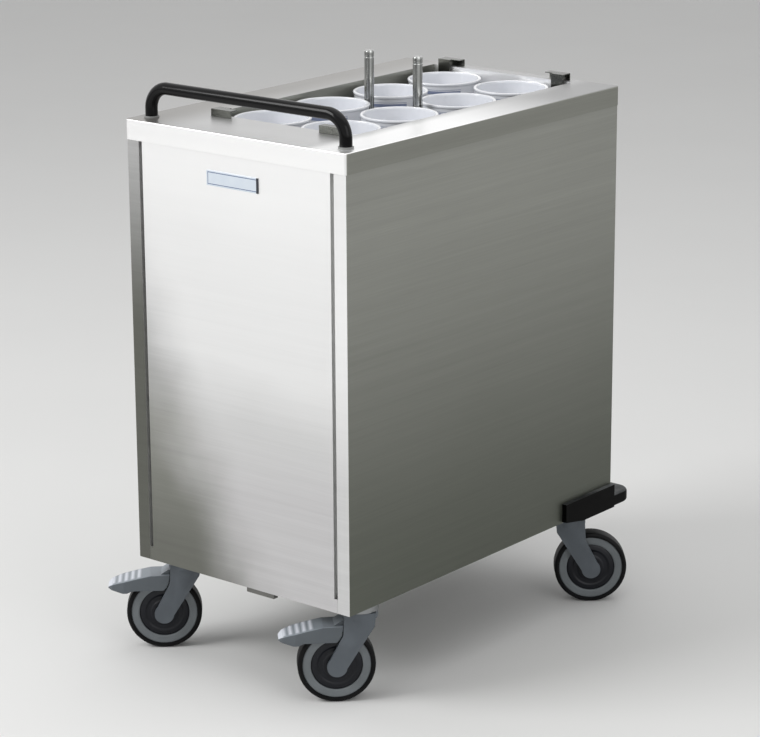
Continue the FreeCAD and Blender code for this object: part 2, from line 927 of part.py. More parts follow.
def make_screws():
    """Screw heads under the flanges at the foot of the panels."""
    inset = s.sheet_gauge + s.lower_flange / 2
    places = []
    for side in (-1, 1):
        for end in (-1, 1):
            places.append((side * s.screw_spread, end * (halfLength - inset)))
        for step in (-1, 0, 1):
            places.append((side * (halfWidth - inset), step * s.screw_pitch))
    low = s.panel_bottom - s.screw_height
    return group(*[post(s.screw_radius, s.screw_height, x, y, low) for x, y in places])


node("panel_screws", make_screws())


def steer(feature, x, y, heading, ahead=0, height=0):
    """Turns a castor's piece to its heading and puts it on the swivel axis, or ahead of it."""
    feature.Placement = FreeCAD.Placement(
        Vector(), FreeCAD.Rotation(Vector(0, 0, 1), number(heading))
    )
    bind(feature, "Placement.Rotation.Angle", heading)
    return put(feature, x + ahead * cosine(heading), y + ahead * sine(heading), height)


def make_head(x, y):
    """Upper race, neck and kingpin, which stay with the rail."""
    low = s.fork_top + s.head_gap
    race = post(s.head_radius, s.race_height, x, y, low)
    neck = post(s.neck_radius, s.castor_seat - low, x, y, low)
    pin = post(s.pin_radius, s.crown_gauge + s.head_gap, x, y, s.fork_top - s.crown_gauge)
    bore = post(s.bolt_radius + s.fit_gap, s.castor_seat, x, y, 0)
    return cut(join(race, neck, pin), bore)


def make_bolt(x, y):
    """Bolt through the kingpin and the rail, with its washer and nut."""
    low = s.fork_top - s.crown_gauge - s.bolt_head_height - s.head_gap / 2
    shank = post(s.bolt_radius, s.pan_height - 1 - low, x, y, low)
    head = post(s.bolt_head, s.bolt_head_height, x, y, low)
    nut = post(
        2 * s.bolt_radius,
        s.pan_height - 1 - s.castor_seat - s.rail_gauge,
        x,
        y,
        s.castor_seat + s.rail_gauge,
    )
    return join(shank, head, nut)


def make_fork(braked):
    """Moulded fork: a crown on the swivel axis and two legs that slope down to the axle."""
    level = s.wheel_radius
    points = [
        (-24, s.fork_top),
        (26, s.fork_top),
        (28, level + 53),
        (s.trail + s.fork_end, level + 2),
        (s.trail - s.fork_end, level - 2),
        (-22, level + 68),
    ]
    width = 2 * (s.fork_gap + s.fork_leg)
    cheeks = prism("fork", "XZ_Plane", points, width, middle=True)
    crown = post(s.head_radius - 1, s.crown_gauge, 0, 0, s.fork_top - s.crown_gauge)
    ends = crossbar(s.fork_end, width, s.trail, 0, level)
    slot = block(
        3 * s.wheel_radius, 2 * s.fork_gap, s.fork_top - s.crown_gauge, s.trail, 0, 0
    )
    bore = post(s.pin_radius + s.fit_gap, s.fork_top, 0, 0, 0)
    seats = crossbar(
        s.axle_radius + s.fit_gap, 2 * (s.fork_gap + s.axle_grip), s.trail, 0, level
    )
    fork = cut(join(cheeks, crown, ends), slot, bore, seats)
    if not braked:
        return fork
    return join(fork, crossbar(s.pedal_pin, 2 * s.fork_gap + 1, s.pivot_ahead, 0, s.pivot_height))


def make_pedal():
    """Brake lever: an eye on the pivot, a tread plate with ribs and two side walls."""
    tip = s.pedal_length
    half = s.pedal_half
    gauge = s.pedal_gauge
    # heights are counted from the top of the wheel, which the plate just clears
    wheelTop = 2 * s.wheel_radius
    tread = [
        (s.pivot_ahead + 12, wheelTop + 5.5),
        (tip - 70, wheelTop + 5),
        (tip - 44, wheelTop - 0.5),
        (tip - 20, wheelTop - 6.5),
        (tip - 6, wheelTop - 11),
        (tip, wheelTop - 17),
    ]
    foot = [
        (tip - 3, wheelTop - 19.5),
        (tip - 24, wheelTop - 27),
        (tip - 30, wheelTop - 27),
        (tip - 40, wheelTop - 21),
        (44, wheelTop - 21),
        (38, wheelTop - 13),
    ]
    inside = [
        (20, wheelTop + 5.5 - gauge),
        (tip - 70, wheelTop + 5 - gauge),
        (tip - 44, wheelTop - 0.5 - gauge),
        (tip - 20, wheelTop - 6.5 - gauge),
        (tip - 9, wheelTop - 11 - gauge),
        (tip - 9, 0),
        (20, 0),
    ]
    plan = [
        (20, -half),
        (tip - 26, -half),
        (tip - 6, 5 - half),
        (tip + 1, 12 - half),
        (tip + 1, half - 12),
        (tip - 6, half - 5),
        (tip - 26, half),
        (20, half),
    ]
    hood = prism("hood", "XZ_Plane", tread + foot, 2 * half, middle=True)
    seenFromAbove = prism("seen_from_above", "XY_Plane", plan, s.fork_top)
    hollow = prism("hollow", "XZ_Plane", inside, 2 * (half - gauge), middle=True)
    shape = new_feature("Part::MultiCommon", "shape")
    shape.Shapes = [hood, seenFromAbove]
    across = 2 * (s.fork_gap - 2)
    neck = [
        (s.pivot_ahead, s.pivot_height + s.pedal_pin + 3),
        (s.pivot_ahead + 8, s.pivot_height + s.pedal_pin + 2),
        (s.pivot_ahead + 20, wheelTop + 5.5),
        (s.pivot_ahead + 20, wheelTop + 5.5 - gauge),
        (s.pivot_ahead, wheelTop + 5.5 - gauge),
    ]
    tongue = prism("tongue", "XZ_Plane", neck, across, middle=True)
    eye = crossbar(s.pedal_pin + 3, across, s.pivot_ahead, 0, s.pivot_height)
    ribs = [
        crossbar(1.3, 2 * half - 8, tip - 12 - 7 * k, 0, wheelTop - 8.8 + 1.75 * k)
        for k in range(5)
    ]
    bore = crossbar(s.pedal_pin + s.fit_gap, 3 * half, s.pivot_ahead, 0, s.pivot_height)
    return cut(join(cut(shape, hollow), tongue, eye, *ribs), bore)


def make_axle():
    """Pin along Y that ends in blind seats inside the fork's legs."""
    half = s.fork_gap + s.axle_grip - s.fit_gap
    return turned(
        "axle", "XY_Plane", [(0, -half), (s.axle_radius, -half), (s.axle_radius, half), (0, half)]
    )


def make_wheel():
    """Wheel body turned about its axle, which lies along Y."""
    bore = s.axle_radius + s.fit_gap
    hub = s.fork_gap - 1
    web = s.web_width / 2
    ring = s.ring_width / 2
    return turned(
        "wheel",
        "XY_Plane",
        [
            (bore, -hub),
            (s.hub_radius, -hub),
            (s.hub_radius, -web),
            (s.ring_inner, -web),
            (s.ring_inner, -ring),
            (s.ring_outer - 1, -ring),
            (s.ring_outer, 1 - ring),
            (s.ring_outer, ring - 1),
            (s.ring_outer - 1, ring),
            (s.ring_inner, ring),
            (s.ring_inner, web),
            (s.hub_radius, web),
            (s.hub_radius, hub),
            (bore, hub),
        ],
    )


def make_tyre():
    """Solid tyre round the ring, with broad rounded shoulders."""
    half = s.wheel_width / 2
    body = turned(
        "tyre",
        "XY_Plane",
        [
            (s.ring_outer + s.fit_gap, -half),
            (s.wheel_radius, -half),
            (s.wheel_radius, half),
            (s.ring_outer + s.fit_gap, half),
        ],
    )
    doc.recompute()

    def is_shoulder(edge):
        isCircle = isinstance(edge.Curve, Part.Circle)
        return isCircle and abs(edge.Curve.Radius - number(s.wheel_radius)) < 0.01

    return rounded(body, s.tyre_shoulder, is_shoulder)


def make_cover(side):
    """Domed cover over the hub, flush inside the ring."""
    rim = s.ring_width / 2 - 2
    outer = s.ring_inner - s.seam_gap
    inner = s.hub_radius + s.fit_gap
    points = [
        (inner, s.web_width / 2),
        (outer, s.web_width / 2),
        (outer, rim),
        (outer - 4, rim + 0.4 * s.cover_rise),
        (outer - 12, rim + 0.8 * s.cover_rise),
        (inner + 4, rim + s.cover_rise),
        (inner, rim + s.cover_rise),
    ]
    return turned("cover", "XY_Plane", [(across, side * out) for across, out in points])


castors = [
    ("front_left", -1, -1, s.heading_front_left, True),
    ("front_right", 1, -1, s.heading_front_right, True),
    ("rear_left", -1, 1, s.heading_rear_left, False),
    ("rear_right", 1, 1, s.heading_rear_right, False),
]
bolts = []
for place, side, end, heading, braked in castors:
    x = side * s.castor_reach
    y = end * s.castor_span
    axleHeight = s.wheel_radius
    node(place + "_swivel_head", make_head(x, y))
    bolts.append(make_bolt(x, y))
    node(place + "_fork", steer(make_fork(braked), x, y, heading))
    for part, make in (("axle", make_axle), ("wheel", make_wheel), ("tyre", make_tyre)):
        node(place + "_" + part, steer(make(), x, y, heading, s.trail, axleHeight))
    covers = group(make_cover(-1), make_cover(1))
    node(place + "_hub_covers", steer(covers, x, y, heading, s.trail, axleHeight))
    if braked:
        node(place + "_pedal", steer(make_pedal(), x, y, heading))
node("castor_bolts", group(*bolts))

doc.recompute()
doc.recompute()

for feature in doc.Objects:
    if "Invalid" in feature.State or "Error" in feature.State:
        raise RuntimeError("failed: %s (%s)" % (feature.Label, feature.Name))
for feature in nodes:
    if feature.Shape.isNull() or not feature.Shape.isValid() or not feature.Shape.Solids:
        raise RuntimeError("no valid shape: " + feature.Label)

# The origin goes under the middle of the whole cart, on the floor.
whole = FreeCAD.BoundBox()
for feature in nodes:
    whole.add(feature.Shape.optimalBoundingBox(False, False))
toOrigin = Vector(-whole.Center.x, -whole.Center.y, -whole.ZMin)

os.makedirs("parts", exist_ok=True)
for feature in nodes:
    feature.Shape.translated(toOrigin).exportStep("parts/%s.step" % feature.Label)
print("%d nodes, box %.1f x %.1f x %.1f mm" % (len(nodes), whole.XLength, whole.YLength, whole.ZLength))
print("moved to the origin by", toOrigin)
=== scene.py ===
import json

import bmesh
import bpy
import numpy as np
from mathutils import Matrix, Vector

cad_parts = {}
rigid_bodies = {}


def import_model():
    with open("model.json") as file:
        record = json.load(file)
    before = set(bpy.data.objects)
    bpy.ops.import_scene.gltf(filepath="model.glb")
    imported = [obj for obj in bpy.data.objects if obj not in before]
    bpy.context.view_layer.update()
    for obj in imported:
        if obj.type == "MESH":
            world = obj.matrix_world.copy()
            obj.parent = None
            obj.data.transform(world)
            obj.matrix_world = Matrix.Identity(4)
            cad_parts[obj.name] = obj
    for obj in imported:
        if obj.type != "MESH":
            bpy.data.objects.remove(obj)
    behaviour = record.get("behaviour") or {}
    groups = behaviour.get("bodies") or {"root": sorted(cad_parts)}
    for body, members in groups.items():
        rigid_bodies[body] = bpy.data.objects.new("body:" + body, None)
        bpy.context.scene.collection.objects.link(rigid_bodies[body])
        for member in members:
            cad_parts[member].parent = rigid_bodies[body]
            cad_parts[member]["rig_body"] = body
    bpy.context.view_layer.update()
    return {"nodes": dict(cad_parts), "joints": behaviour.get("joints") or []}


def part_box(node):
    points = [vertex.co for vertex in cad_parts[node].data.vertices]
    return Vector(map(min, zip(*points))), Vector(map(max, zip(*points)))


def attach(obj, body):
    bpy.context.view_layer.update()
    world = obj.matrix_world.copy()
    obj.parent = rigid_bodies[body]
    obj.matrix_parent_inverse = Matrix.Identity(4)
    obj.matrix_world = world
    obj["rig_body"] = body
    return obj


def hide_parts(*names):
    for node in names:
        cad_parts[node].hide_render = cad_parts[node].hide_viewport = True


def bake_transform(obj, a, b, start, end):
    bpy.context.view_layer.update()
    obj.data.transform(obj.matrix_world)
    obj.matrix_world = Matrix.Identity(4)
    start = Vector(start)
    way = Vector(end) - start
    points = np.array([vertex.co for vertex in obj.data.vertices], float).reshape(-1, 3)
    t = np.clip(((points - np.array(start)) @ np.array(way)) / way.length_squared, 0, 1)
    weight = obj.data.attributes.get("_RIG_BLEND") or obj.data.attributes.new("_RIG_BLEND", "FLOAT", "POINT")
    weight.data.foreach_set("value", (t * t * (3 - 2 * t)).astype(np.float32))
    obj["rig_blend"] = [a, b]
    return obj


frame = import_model()
nodes = frame["nodes"]
sides = ("front_left", "front_right", "rear_left", "rear_right")
braked = ("front_left", "front_right")
stacks = range(1, 9)
print("frame loaded:", len(nodes), "nodes")


def tone(red, green=None, blue=None):  # a colour as it looks on screen, 0 to 255, made linear
    screen = np.array([red, red if green is None else green, red if blue is None else blue]) / 255
    linear = np.where(screen < 0.04045, screen / 12.92, ((screen + 0.055) / 1.055) ** 2.4)
    return (*[float(part) for part in linear], 1.0)


facingCosines = (0.4, 0.7)  # a face starts and ends to count as looking one way between these


def darker(color, share):
    return [part * share for part in color[:3]] + [1.0]


class Value:  # one socket of a node tree; an expression on values adds the maths nodes it needs
    def __init__(self, graph, socket):
        self.graph = graph
        self.socket = socket

    def __add__(self, other):
        return self.graph.maths("ADD", self, other)

    def __sub__(self, other):
        return self.graph.maths("SUBTRACT", self, other)

    def __rsub__(self, other):
        return self.graph.maths("SUBTRACT", other, self)

    def __mul__(self, other):
        return self.graph.maths("MULTIPLY", self, other)

    def __truediv__(self, other):
        return self.graph.maths("DIVIDE", self, other)

    def __gt__(self, other):
        return self.graph.maths("GREATER_THAN", self, other)

    def __lt__(self, other):
        return self.graph.maths("LESS_THAN", self, other)

    __radd__ = __add__
    __rmul__ = __mul__


class Graph:  # a node tree, and one method that adds any node to it
    def __init__(self, tree):
        self.tree = tree

    def feed(self, socket, value):
        if isinstance(value, Value):
            self.tree.links.new(value.socket, socket)
        else:
            socket.default_value = value

    def node(self, kind, settings=None, inputs=None, output=0):
        made = self.tree.nodes.new("ShaderNode" + kind)
        for name, value in (settings or {}).items():
            if name == "stops":
                ramp = made.color_ramp.elements
                while len(ramp) < len(value):
                    ramp.new(0.5)
                for element, (position, color) in zip(ramp, value):
                    element.position = position
                    element.color = color
            else:
                setattr(made, name, value)
        for name, value in (inputs or {}).items():
            self.feed(made.inputs[name], value)
        return Value(self, made.outputs[output])

    def maths(self, operation, first, second):
        return self.node("Math", {"operation": operation}, {0: first, 1: second})

    def smooth(self, value, start, end):  # 0 before start, 1 after end, with soft ends
        settings = {"interpolation_type": "SMOOTHSTEP"}
        return self.node("MapRange", settings, {"Value": value, "From Min": start, "From Max": end})

    def mix(self, factor, first, second, blend="MIX"):  # from the first colour to the second
        settings = {"data_type": "RGBA", "blend_type": blend}
        return self.node("Mix", settings, {0: factor, 6: first, 7: second}, output=2)

    def parts(self, vector):
        return [self.node("SeparateXYZ", None, {0: vector}, output=k) for k in range(3)]

    def place(self):  # the point on the piece, and its x, y and z
        spot = self.node("TexCoord", output="Object")
        return spot, self.parts(spot)

    def facing(self):  # how far a face looks up, to the handle end and to the right, from 0 to 1
        normal = self.parts(self.node("NewGeometry", output="Normal"))
        return [self.smooth(part, *facingCosines) for part in (normal[2], normal[1] * -1.0, normal[0])]

    def noise(self, spot, scale, detail=2.0, stretch=(1, 1, 1), rough=0.5):  # grey clouds about 0.5
        spread = self.node("Mapping", None, {"Vector": spot, "Scale": stretch})
        inputs = {"Vector": spread, "Scale": scale, "Detail": detail, "Roughness": rough}
        return self.node("TexNoise", None, inputs)


class Paint(Graph):  # one material and its shader
    def __init__(self, name, **constants):
        self.material = bpy.data.materials.new(name)
        self.material.use_nodes = True
        super().__init__(self.material.node_tree)
        self.shader = self.tree.nodes["Principled BSDF"]
        self.set(**constants)

    def set(self, **inputs):  # base_color becomes the socket Base Color, and so on
        for name, value in inputs.items():
            words = [word.upper() if word == "ior" else word.capitalize() for word in name.split("_")]
            self.feed(self.shader.inputs[" ".join(words)], value)

    def bump(self, height, distance, strength=1.0):
        inputs = {"Height": height, "Distance": distance, "Strength": strength}
        self.set(normal=self.node("Bump", None, inputs))


steelLook = {
    "grain": 900,  # lines of brushing per metre
    "grainStretch": 90,  # how many times longer than wide a line is
    "streak": 150,  # coarser lines per metre
    "cloud": 3.2,  # soft clouds per metre
    "grainTone": 0.1, "streakTone": 0.15, "cloudTone": 0.1,  # how much each changes the tone
    "streakRough": 0.12, "cloudRough": 0.08,  # how much each changes the roughness
    "brushing": 0.7,  # how strongly the brushing lies over the tone
    "metal": 0.85,
    "anisotropic": 0.3,
    "depth": 0.00004,
    "strength": 0.25,
}


def brushedSteel(name, shade, rough=0.38):
    # Fine lines run level round the piece; colour and roughness waver with them and with soft clouds
    look = steelLook
    paint = Paint(name, metallic=look["metal"], anisotropic=look["anisotropic"])
    spot, axes = paint.place()
    stretch = (1 / look["grainStretch"], 1 / look["grainStretch"], 1)
    grain = paint.noise(spot, look["grain"], 2, stretch)
    streak = paint.noise(spot, look["streak"], 3, stretch)
    cloud = paint.noise(spot, look["cloud"], 3)
    # the tone from the shade function, with the painted light and shade it holds
    base = shade(paint, axes, cloud)
    grey = 0.5 + (grain - 0.5) * look["grainTone"] + (streak - 0.5) * look["streakTone"]
    lines = paint.mix(grey + (cloud - 0.5) * look["cloudTone"], tone(0), tone(255))
    paint.set(base_color=paint.mix(look["brushing"], base, lines, "OVERLAY"))
    paint.set(roughness=rough + (streak - 0.5) * look["streakRough"] + (cloud - 0.5) * look["cloudRough"])
    paint.bump(grain * 0.6 + streak * 0.4, look["depth"], look["strength"])
    return paint.material


def evenShade(color, low=0.94):  # one tone, a little darker in clouds
    return lambda paint, axes, cloud: paint.mix(cloud, darker(color, low), color)


frontLow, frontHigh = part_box("front_panel")
# Painted light and shade: one brushed steel is given lighter and darker tones by which way its faces look and
# how far down they lie, standing in for how the light falls and what the steel mirrors
steelTones = {
    # faces looking to the handle end: painted brightest, as lit
    "frontTop": tone(255),
    # from the top of the end panel down: share of its height and tone, along its left and right edges; a
    # painted reflection and shade, bright at the top and darker lower down, most on the left
    "frontLeft": [(0.0, tone(251)), (0.1, tone(244)), (0.22, tone(230)), (0.35, tone(206)),
                  (0.5, tone(168)), (0.65, tone(152, 152, 148)), (0.8, tone(127, 128, 122)),
                  (0.95, tone(110, 111, 105))],
    "frontRight": [(0.0, tone(251)), (0.1, tone(248)), (0.22, tone(239)), (0.36, tone(233)),
                   (0.5, tone(229)), (0.64, tone(206)), (0.8, tone(196, 195, 196)),
                   (1.0, tone(198, 197, 198))],
    # the posts: painted light and shade, the left one dull and the right one bright
    "leftPostTop": tone(186), "leftPostLow": tone(96, 97, 91),
    "rightPostTop": tone(240), "rightPostLow": tone(206),
    # the side panels: painted shade, the right side darker than the left, both darker lower down
    "rightTop": tone(156, 157, 151), "rightLow": tone(98, 101, 93),
    "leftTop": tone(190, 191, 188), "leftLow": tone(150, 152, 148),
    # painted tones for faces looking back, a painted shadow strip under the skirt, and painted lighter tones
    # inside the grooves beside the end panel
    "rear": tone(214, 214, 212), "seam": tone(214), "groove": tone(235), "leftGroove": tone(196),
    # the skirt and the well walls: painted shade, darker on the right and on the well's sides
    "skirtRight": tone(146, 147, 140), "skirtLeft": tone(180), "wellSide": tone(150, 152, 146),
    # the deck and its rails: painted light and shade, dull on the left, bright on the right rail near the
    # handle
    "deckLeft": tone(146, 144, 141), "deckFront": tone(190), "deckRear": tone(174),
    "railFront": tone(247), "railRear": tone(154),
}

shadeLook = {
    # down the panels: the shares of their height between which the tone turns, and the clouds' waver
    "sides": (0.05, 1.0, 0.15), "leftPost": (-0.05, 0.5, 0.1), "rightPost": (0.35, 0.8, 0.3),
    "grooveReach": 0.05,  # from the end panel's left edge; metres
    "panelWaver": 0.16,
    # the end panel's dull patch is a painted reflection, darker than the rest of the panel
    "puffs": 9,  # clouds per metre along the edge of the end panel's dull patch
    "puffWaver": 0.3,
    "slant": 0.8,  # how far the patch widens on its way down
    "slantTurn": (-0.15, 0.35),  # shares of the panel's width between which left turns to right
    # height of the painted shadow strip under the skirt; metres
    "seamHeight": 0.005,
    "deckWaver": 0.03, "deckAlongWaver": 0.2,
    "deckTurn": (0.38, 0.85),  # shares of the deck's length
    "leftRail": (0.02, 0.13), "rightRail": (0.085, 0.05),  # from the deck's edges; metres
}


def downShare(axes, cloud, waver):  # 0 at the top of the panels, 1 at their lower edge
    return (frontHigh.z - axes[2]) / (frontHigh.z - frontLow.z) + (cloud - 0.5) * waver


def fadeDown(paint, axes, cloud, name):  # a mix from one tone to another on the way down
    start, end, waver = shadeLook[name]
    share = paint.smooth(downShare(axes, cloud, waver), start, end)
    return lambda top, low: paint.mix(share, steelTones[top], steelTones[low])


def sidesShade(paint, axes, cloud, front):
    # Upright faces, with painted light and shade: the front colour where they look to the handle end, else
    # that of their own side, the right side darker than the left and both darker lower down
    _, ahead, right = paint.facing()
    fade = fadeDown(paint, axes, cloud, "sides")
    # painted light: the inner face of the left post in its groove is painted lighter than the right side,
    # lifting the shade there
    inGroove = axes[0] < frontLow.x + shadeLook["grooveReach"]  # the inner face of the left post
    rightSide = paint.mix(inGroove, fade("rightTop", "rightLow"), steelTones["leftGroove"])
    return paint.mix(ahead, paint.mix(right, fade("leftTop", "leftLow"), rightSide), front)


def panelShade(paint, axes, cloud):
    # Painted reflection and shade: bright at the top, with a dull cloudy patch lower down that widens to the
    # left; faces looking back or to the right get painted tones of their own
    across = (axes[0] - frontLow.x) / (frontHigh.x - frontLow.x)
    down = downShare(axes, cloud, shadeLook["panelWaver"])
    leftEdge, rightEdge = [paint.node("ValToRGB", {"stops": steelTones[edge]}, {"Fac": down})
                           for edge in ("frontLeft", "frontRight")]
    puff = paint.noise(paint.place()[0], shadeLook["puffs"], 3, rough=0.4)
    toRight = across - (down - 0.5) * shadeLook["slant"] + (puff - 0.5) * shadeLook["puffWaver"]
    front = paint.mix(paint.smooth(toRight, *shadeLook["slantTurn"]), leftEdge, rightEdge)
    # painted shadow: a darker strip along the top of the end panel, under the skirt
    seam = paint.smooth(axes[2], frontHigh.z - shadeLook["seamHeight"], frontHigh.z)
    front = paint.mix(seam, front, steelTones["seam"])
    _, ahead, right = paint.facing()
    return paint.mix(ahead, paint.mix(right, steelTones["rear"], steelTones["groove"]), front)


def postShade(paint, axes, cloud):
    # The folded posts beside the end panels, with painted light and shade: the left one dull, the right one
    # bright, both darker lower down
    onRight = axes[0] > (frontLow.x + frontHigh.x) / 2
    leftPost = fadeDown(paint, axes, cloud, "leftPost")("leftPostTop", "leftPostLow")
    rightPost = fadeDown(paint, axes, cloud, "rightPost")("rightPostTop", "rightPostLow")
    return sidesShade(paint, axes, cloud, paint.mix(onRight, leftPost, rightPost))


def deckShade(paint, axes, cloud):
    # Painted light and shade: the deck is dullest along its left rail and brightest on the right rail near
    # the handle; the skirt is brightest where it looks to the handle end and darker on the right
    low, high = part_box("top_frame")
    share = (axes[1] - low.y) / (high.y - low.y) + (cloud - 0.5) * shadeLook["deckAlongWaver"]
    along = paint.smooth(share, *shadeLook["deckTurn"])
    middle = paint.mix(along, steelTones["deckFront"], steelTones["deckRear"])
    rail = paint.mix(along, steelTones["railFront"], steelTones["railRear"])
    x = axes[0] + (cloud - 0.5) * shadeLook["deckWaver"]
    onLeft = paint.smooth(x, *[low.x + reach for reach in shadeLook["leftRail"]])
    onRight = paint.smooth(x, *[high.x - reach for reach in shadeLook["rightRail"]])
    top = paint.mix(onRight, paint.mix(onLeft, steelTones["deckLeft"], middle), rail)
    up, ahead, right = paint.facing()
    skirt = paint.mix(right, steelTones["skirtLeft"], steelTones["skirtRight"])
    return paint.mix(up, paint.mix(ahead, skirt, steelTones["frontTop"]), top)


def wellShade(paint, axes, cloud):
    # Painted light: well walls looking to the handle end are painted bright white, the others grey
    return paint.mix(paint.facing()[1], steelTones["wellSide"], steelTones["frontTop"])


topSteel = brushedSteel("top_steel_brushed", deckShade, rough=0.36)
panelSteel = brushedSteel("panel_steel_brushed", panelShade)
sideSteel = brushedSteel("side_steel_brushed", postShade, rough=0.42)
wellSteel = brushedSteel("well_steel_brushed", wellShade, rough=0.4)
# Painted shade: the lower steel pieces are painted darker, as they lie in shade under the body
shadedBaseSteel = brushedSteel("base_steel_painted_shade", evenShade(tone(104, 106, 101)), rough=0.45)


turnedLook = {
    "ring": 400, "smudge": 40, "streak": 260,  # per metre
    "ringStretch": (0.1, 0.1, 1), "streakStretch": (1, 1, 0.004), "streakTurn": (0.38, 0.62),
    "streakTone": 0.3, "smudgeTone": 0.82, "smudgeRough": 0.12,
    "depth": 0.00002,
}


def plainSteel(name, color, rough, reflectionStreaks=0.0):
    # Turned or drawn steel: faint rings and smudges, and dark streaks along its length in the share the last
    # argument gives, which are a painted reflection
    look = turnedLook
    paint = Paint(name, metallic=1.0)
    spot = paint.place()[0]
    ring = paint.noise(spot, look["ring"], 2, look["ringStretch"])
    smudge = paint.noise(spot, look["smudge"], 3)
    streak = paint.noise(spot, look["streak"], 1, look["streakStretch"])
    streak = paint.smooth(streak, *look["streakTurn"])
    base = paint.mix(smudge, color, darker(color, look["smudgeTone"]))
    paint.set(base_color=paint.mix(streak * reflectionStreaks, base, darker(color, look["streakTone"])))
    paint.set(roughness=rough + (smudge - 0.5) * look["smudgeRough"])
    paint.bump(ring, look["depth"], 0.3)
    return paint.material


# rods: dark streaks along them as a painted reflection
rodSteel = plainSteel("rod_steel_polished", tone(196, 198, 196), 0.14, reflectionStreaks=0.8)
springSteel = plainSteel("spring_steel_drawn", tone(150, 151, 152), 0.3)
smallSteel = plainSteel("small_steel_zinc", tone(150, 152, 153), 0.32)
clipSteel = plainSteel("clip_steel_folded", tone(96, 97, 93), 0.26)


plasticLook = {"patch": 25, "patchTurn": (0.35, 0.8), "grainRough": 0.1, "patchRough": 0.14}


def plastic(name, color, rough, grain=900, depth=0.00005, mottle=0.12, gloss=0.5):
    # Moulded plastic: fine pebbled skin with worn, lighter patches
    paint = Paint(name, metallic=0.0, specular_ior_level=gloss)
    spot = paint.place()[0]
    pebble = paint.noise(spot, grain, 3)
    patch = paint.noise(spot, plasticLook["patch"], 4)
    light = [min(1.0, part * (1 + 2.2 * mottle) + 0.01 * mottle) for part in color[:3]] + [1.0]
    paint.set(base_color=paint.mix(paint.smooth(patch, *plasticLook["patchTurn"]), color, light))
    waver = (pebble - 0.5) * plasticLook["grainRough"] + (patch - 0.5) * plasticLook["patchRough"]
    paint.set(roughness=waver + rough)
    paint.bump(pebble, depth, 0.5)
    return paint.material


handleCoat = plastic("handle_black_coat", tone(3, 3, 4), 0.14, 500, 0.00001, 0.1, gloss=0.18)
collarPlastic = plastic("collar_plastic_grey", tone(126, 127, 126), 0.4)
tabPlastic = plastic("tab_plastic_dark", tone(92, 92, 88), 0.5)
bushPlastic = plastic("bush_plastic_white", tone(214, 213, 206), 0.45)
castorGrey = plastic("castor_plastic_grey", tone(86, 92, 98), 0.4, 800, 0.00005, 0.12, gloss=0.35)
wheelGrey = plastic("wheel_plastic_grey", tone(108, 113, 116), 0.42, 800, 0.00005, 0.1, gloss=0.35)
coverDark = plastic("cover_plastic_dark", tone(16, 18, 24), 0.32, 800, 0.00003, 0.15, gloss=0.25)
tyreRubber = plastic("tyre_rubber_dark", tone(7, 7, 8), 0.5, 1200, 0.00008, 0.4, gloss=0.12)


bumperLook = {
    # top faces painted lighter grey than the black sides, as a painted highlight
    "side": tone(2), "sideScuffed": tone(7), "top": tone(40, 41, 42), "topLitScuffed": tone(96, 98, 99),
    "pebble": 700, "scuff": 22, "scuffTurn": (0.3, 0.65),
    "rough": 0.45, "gloss": 0.05, "depth": 0.0001,
}


def bumperPaint():
    # Black moulding with a fine pebbled skin and scuffed patches; its top faces are painted lighter grey, a
    # painted highlight where the light falls on them
    look = bumperLook
    paint = Paint("bumper_plastic_scuffed_toplit", roughness=look["rough"], specular_ior_level=look["gloss"])
    spot = paint.place()[0]
    scuff = paint.smooth(paint.noise(spot, look["scuff"], 4), *look["scuffTurn"])
    top = paint.mix(scuff, look["top"], look["topLitScuffed"])
    side = paint.mix(scuff, look["side"], look["sideScuffed"])
    paint.set(base_color=paint.mix(paint.facing()[0], side, top))
    paint.bump(paint.noise(spot, look["pebble"], 3), look["depth"], 0.5)
    return paint.material


pedalLook = {
    # top faces painted lighter and ridges painted bright, as painted highlights; the sides stay darker
    "side": tone(82, 88, 93), "sidePale": tone(96, 102, 107), "top": tone(134, 141, 148),
    "ridge": tone(210, 214, 222),
    "pebble": 800, "patch": 30,
    "rough": 0.42, "gloss": 0.35, "depth": 0.00005,
}


def pedalPaint():
    # Grey moulding like the fork; its top faces are painted lighter and the ridges of its tread and its tip
    # bright, as painted highlights
    look = pedalLook
    paint = Paint("pedal_plastic_highlit", roughness=look["rough"], specular_ior_level=look["gloss"])
    spot = paint.place()[0]
    ridge = paint.node("Attribute", {"attribute_name": "ridge"}, output=2)
    top = paint.mix(ridge, look["top"], look["ridge"])
    side = paint.mix(paint.noise(spot, look["patch"], 4), look["side"], look["sidePale"])
    paint.set(base_color=paint.mix(paint.facing()[0], side, top))
    paint.bump(paint.noise(spot, look["pebble"], 3), look["depth"], 0.5)
    return paint.material


pedalGrey = pedalPaint()
bumperPlastic = bumperPaint()


bowlLook = {
    "body": tone(231, 232, 236),
    "shade": tone(218, 221, 227),
    "cloud": 30,
    "print": tone(104, 118, 156),
    "printStrength": 0.85,
    "lines": [(0.0400, 0.0452), (0.0468, 0.0476)],  # heights over the foot
    "facing": (0.5, -0.866),  # the side of the bowl with the print
    "reach": 0.82,  # cosine of half the angle that the print runs round the wall
}


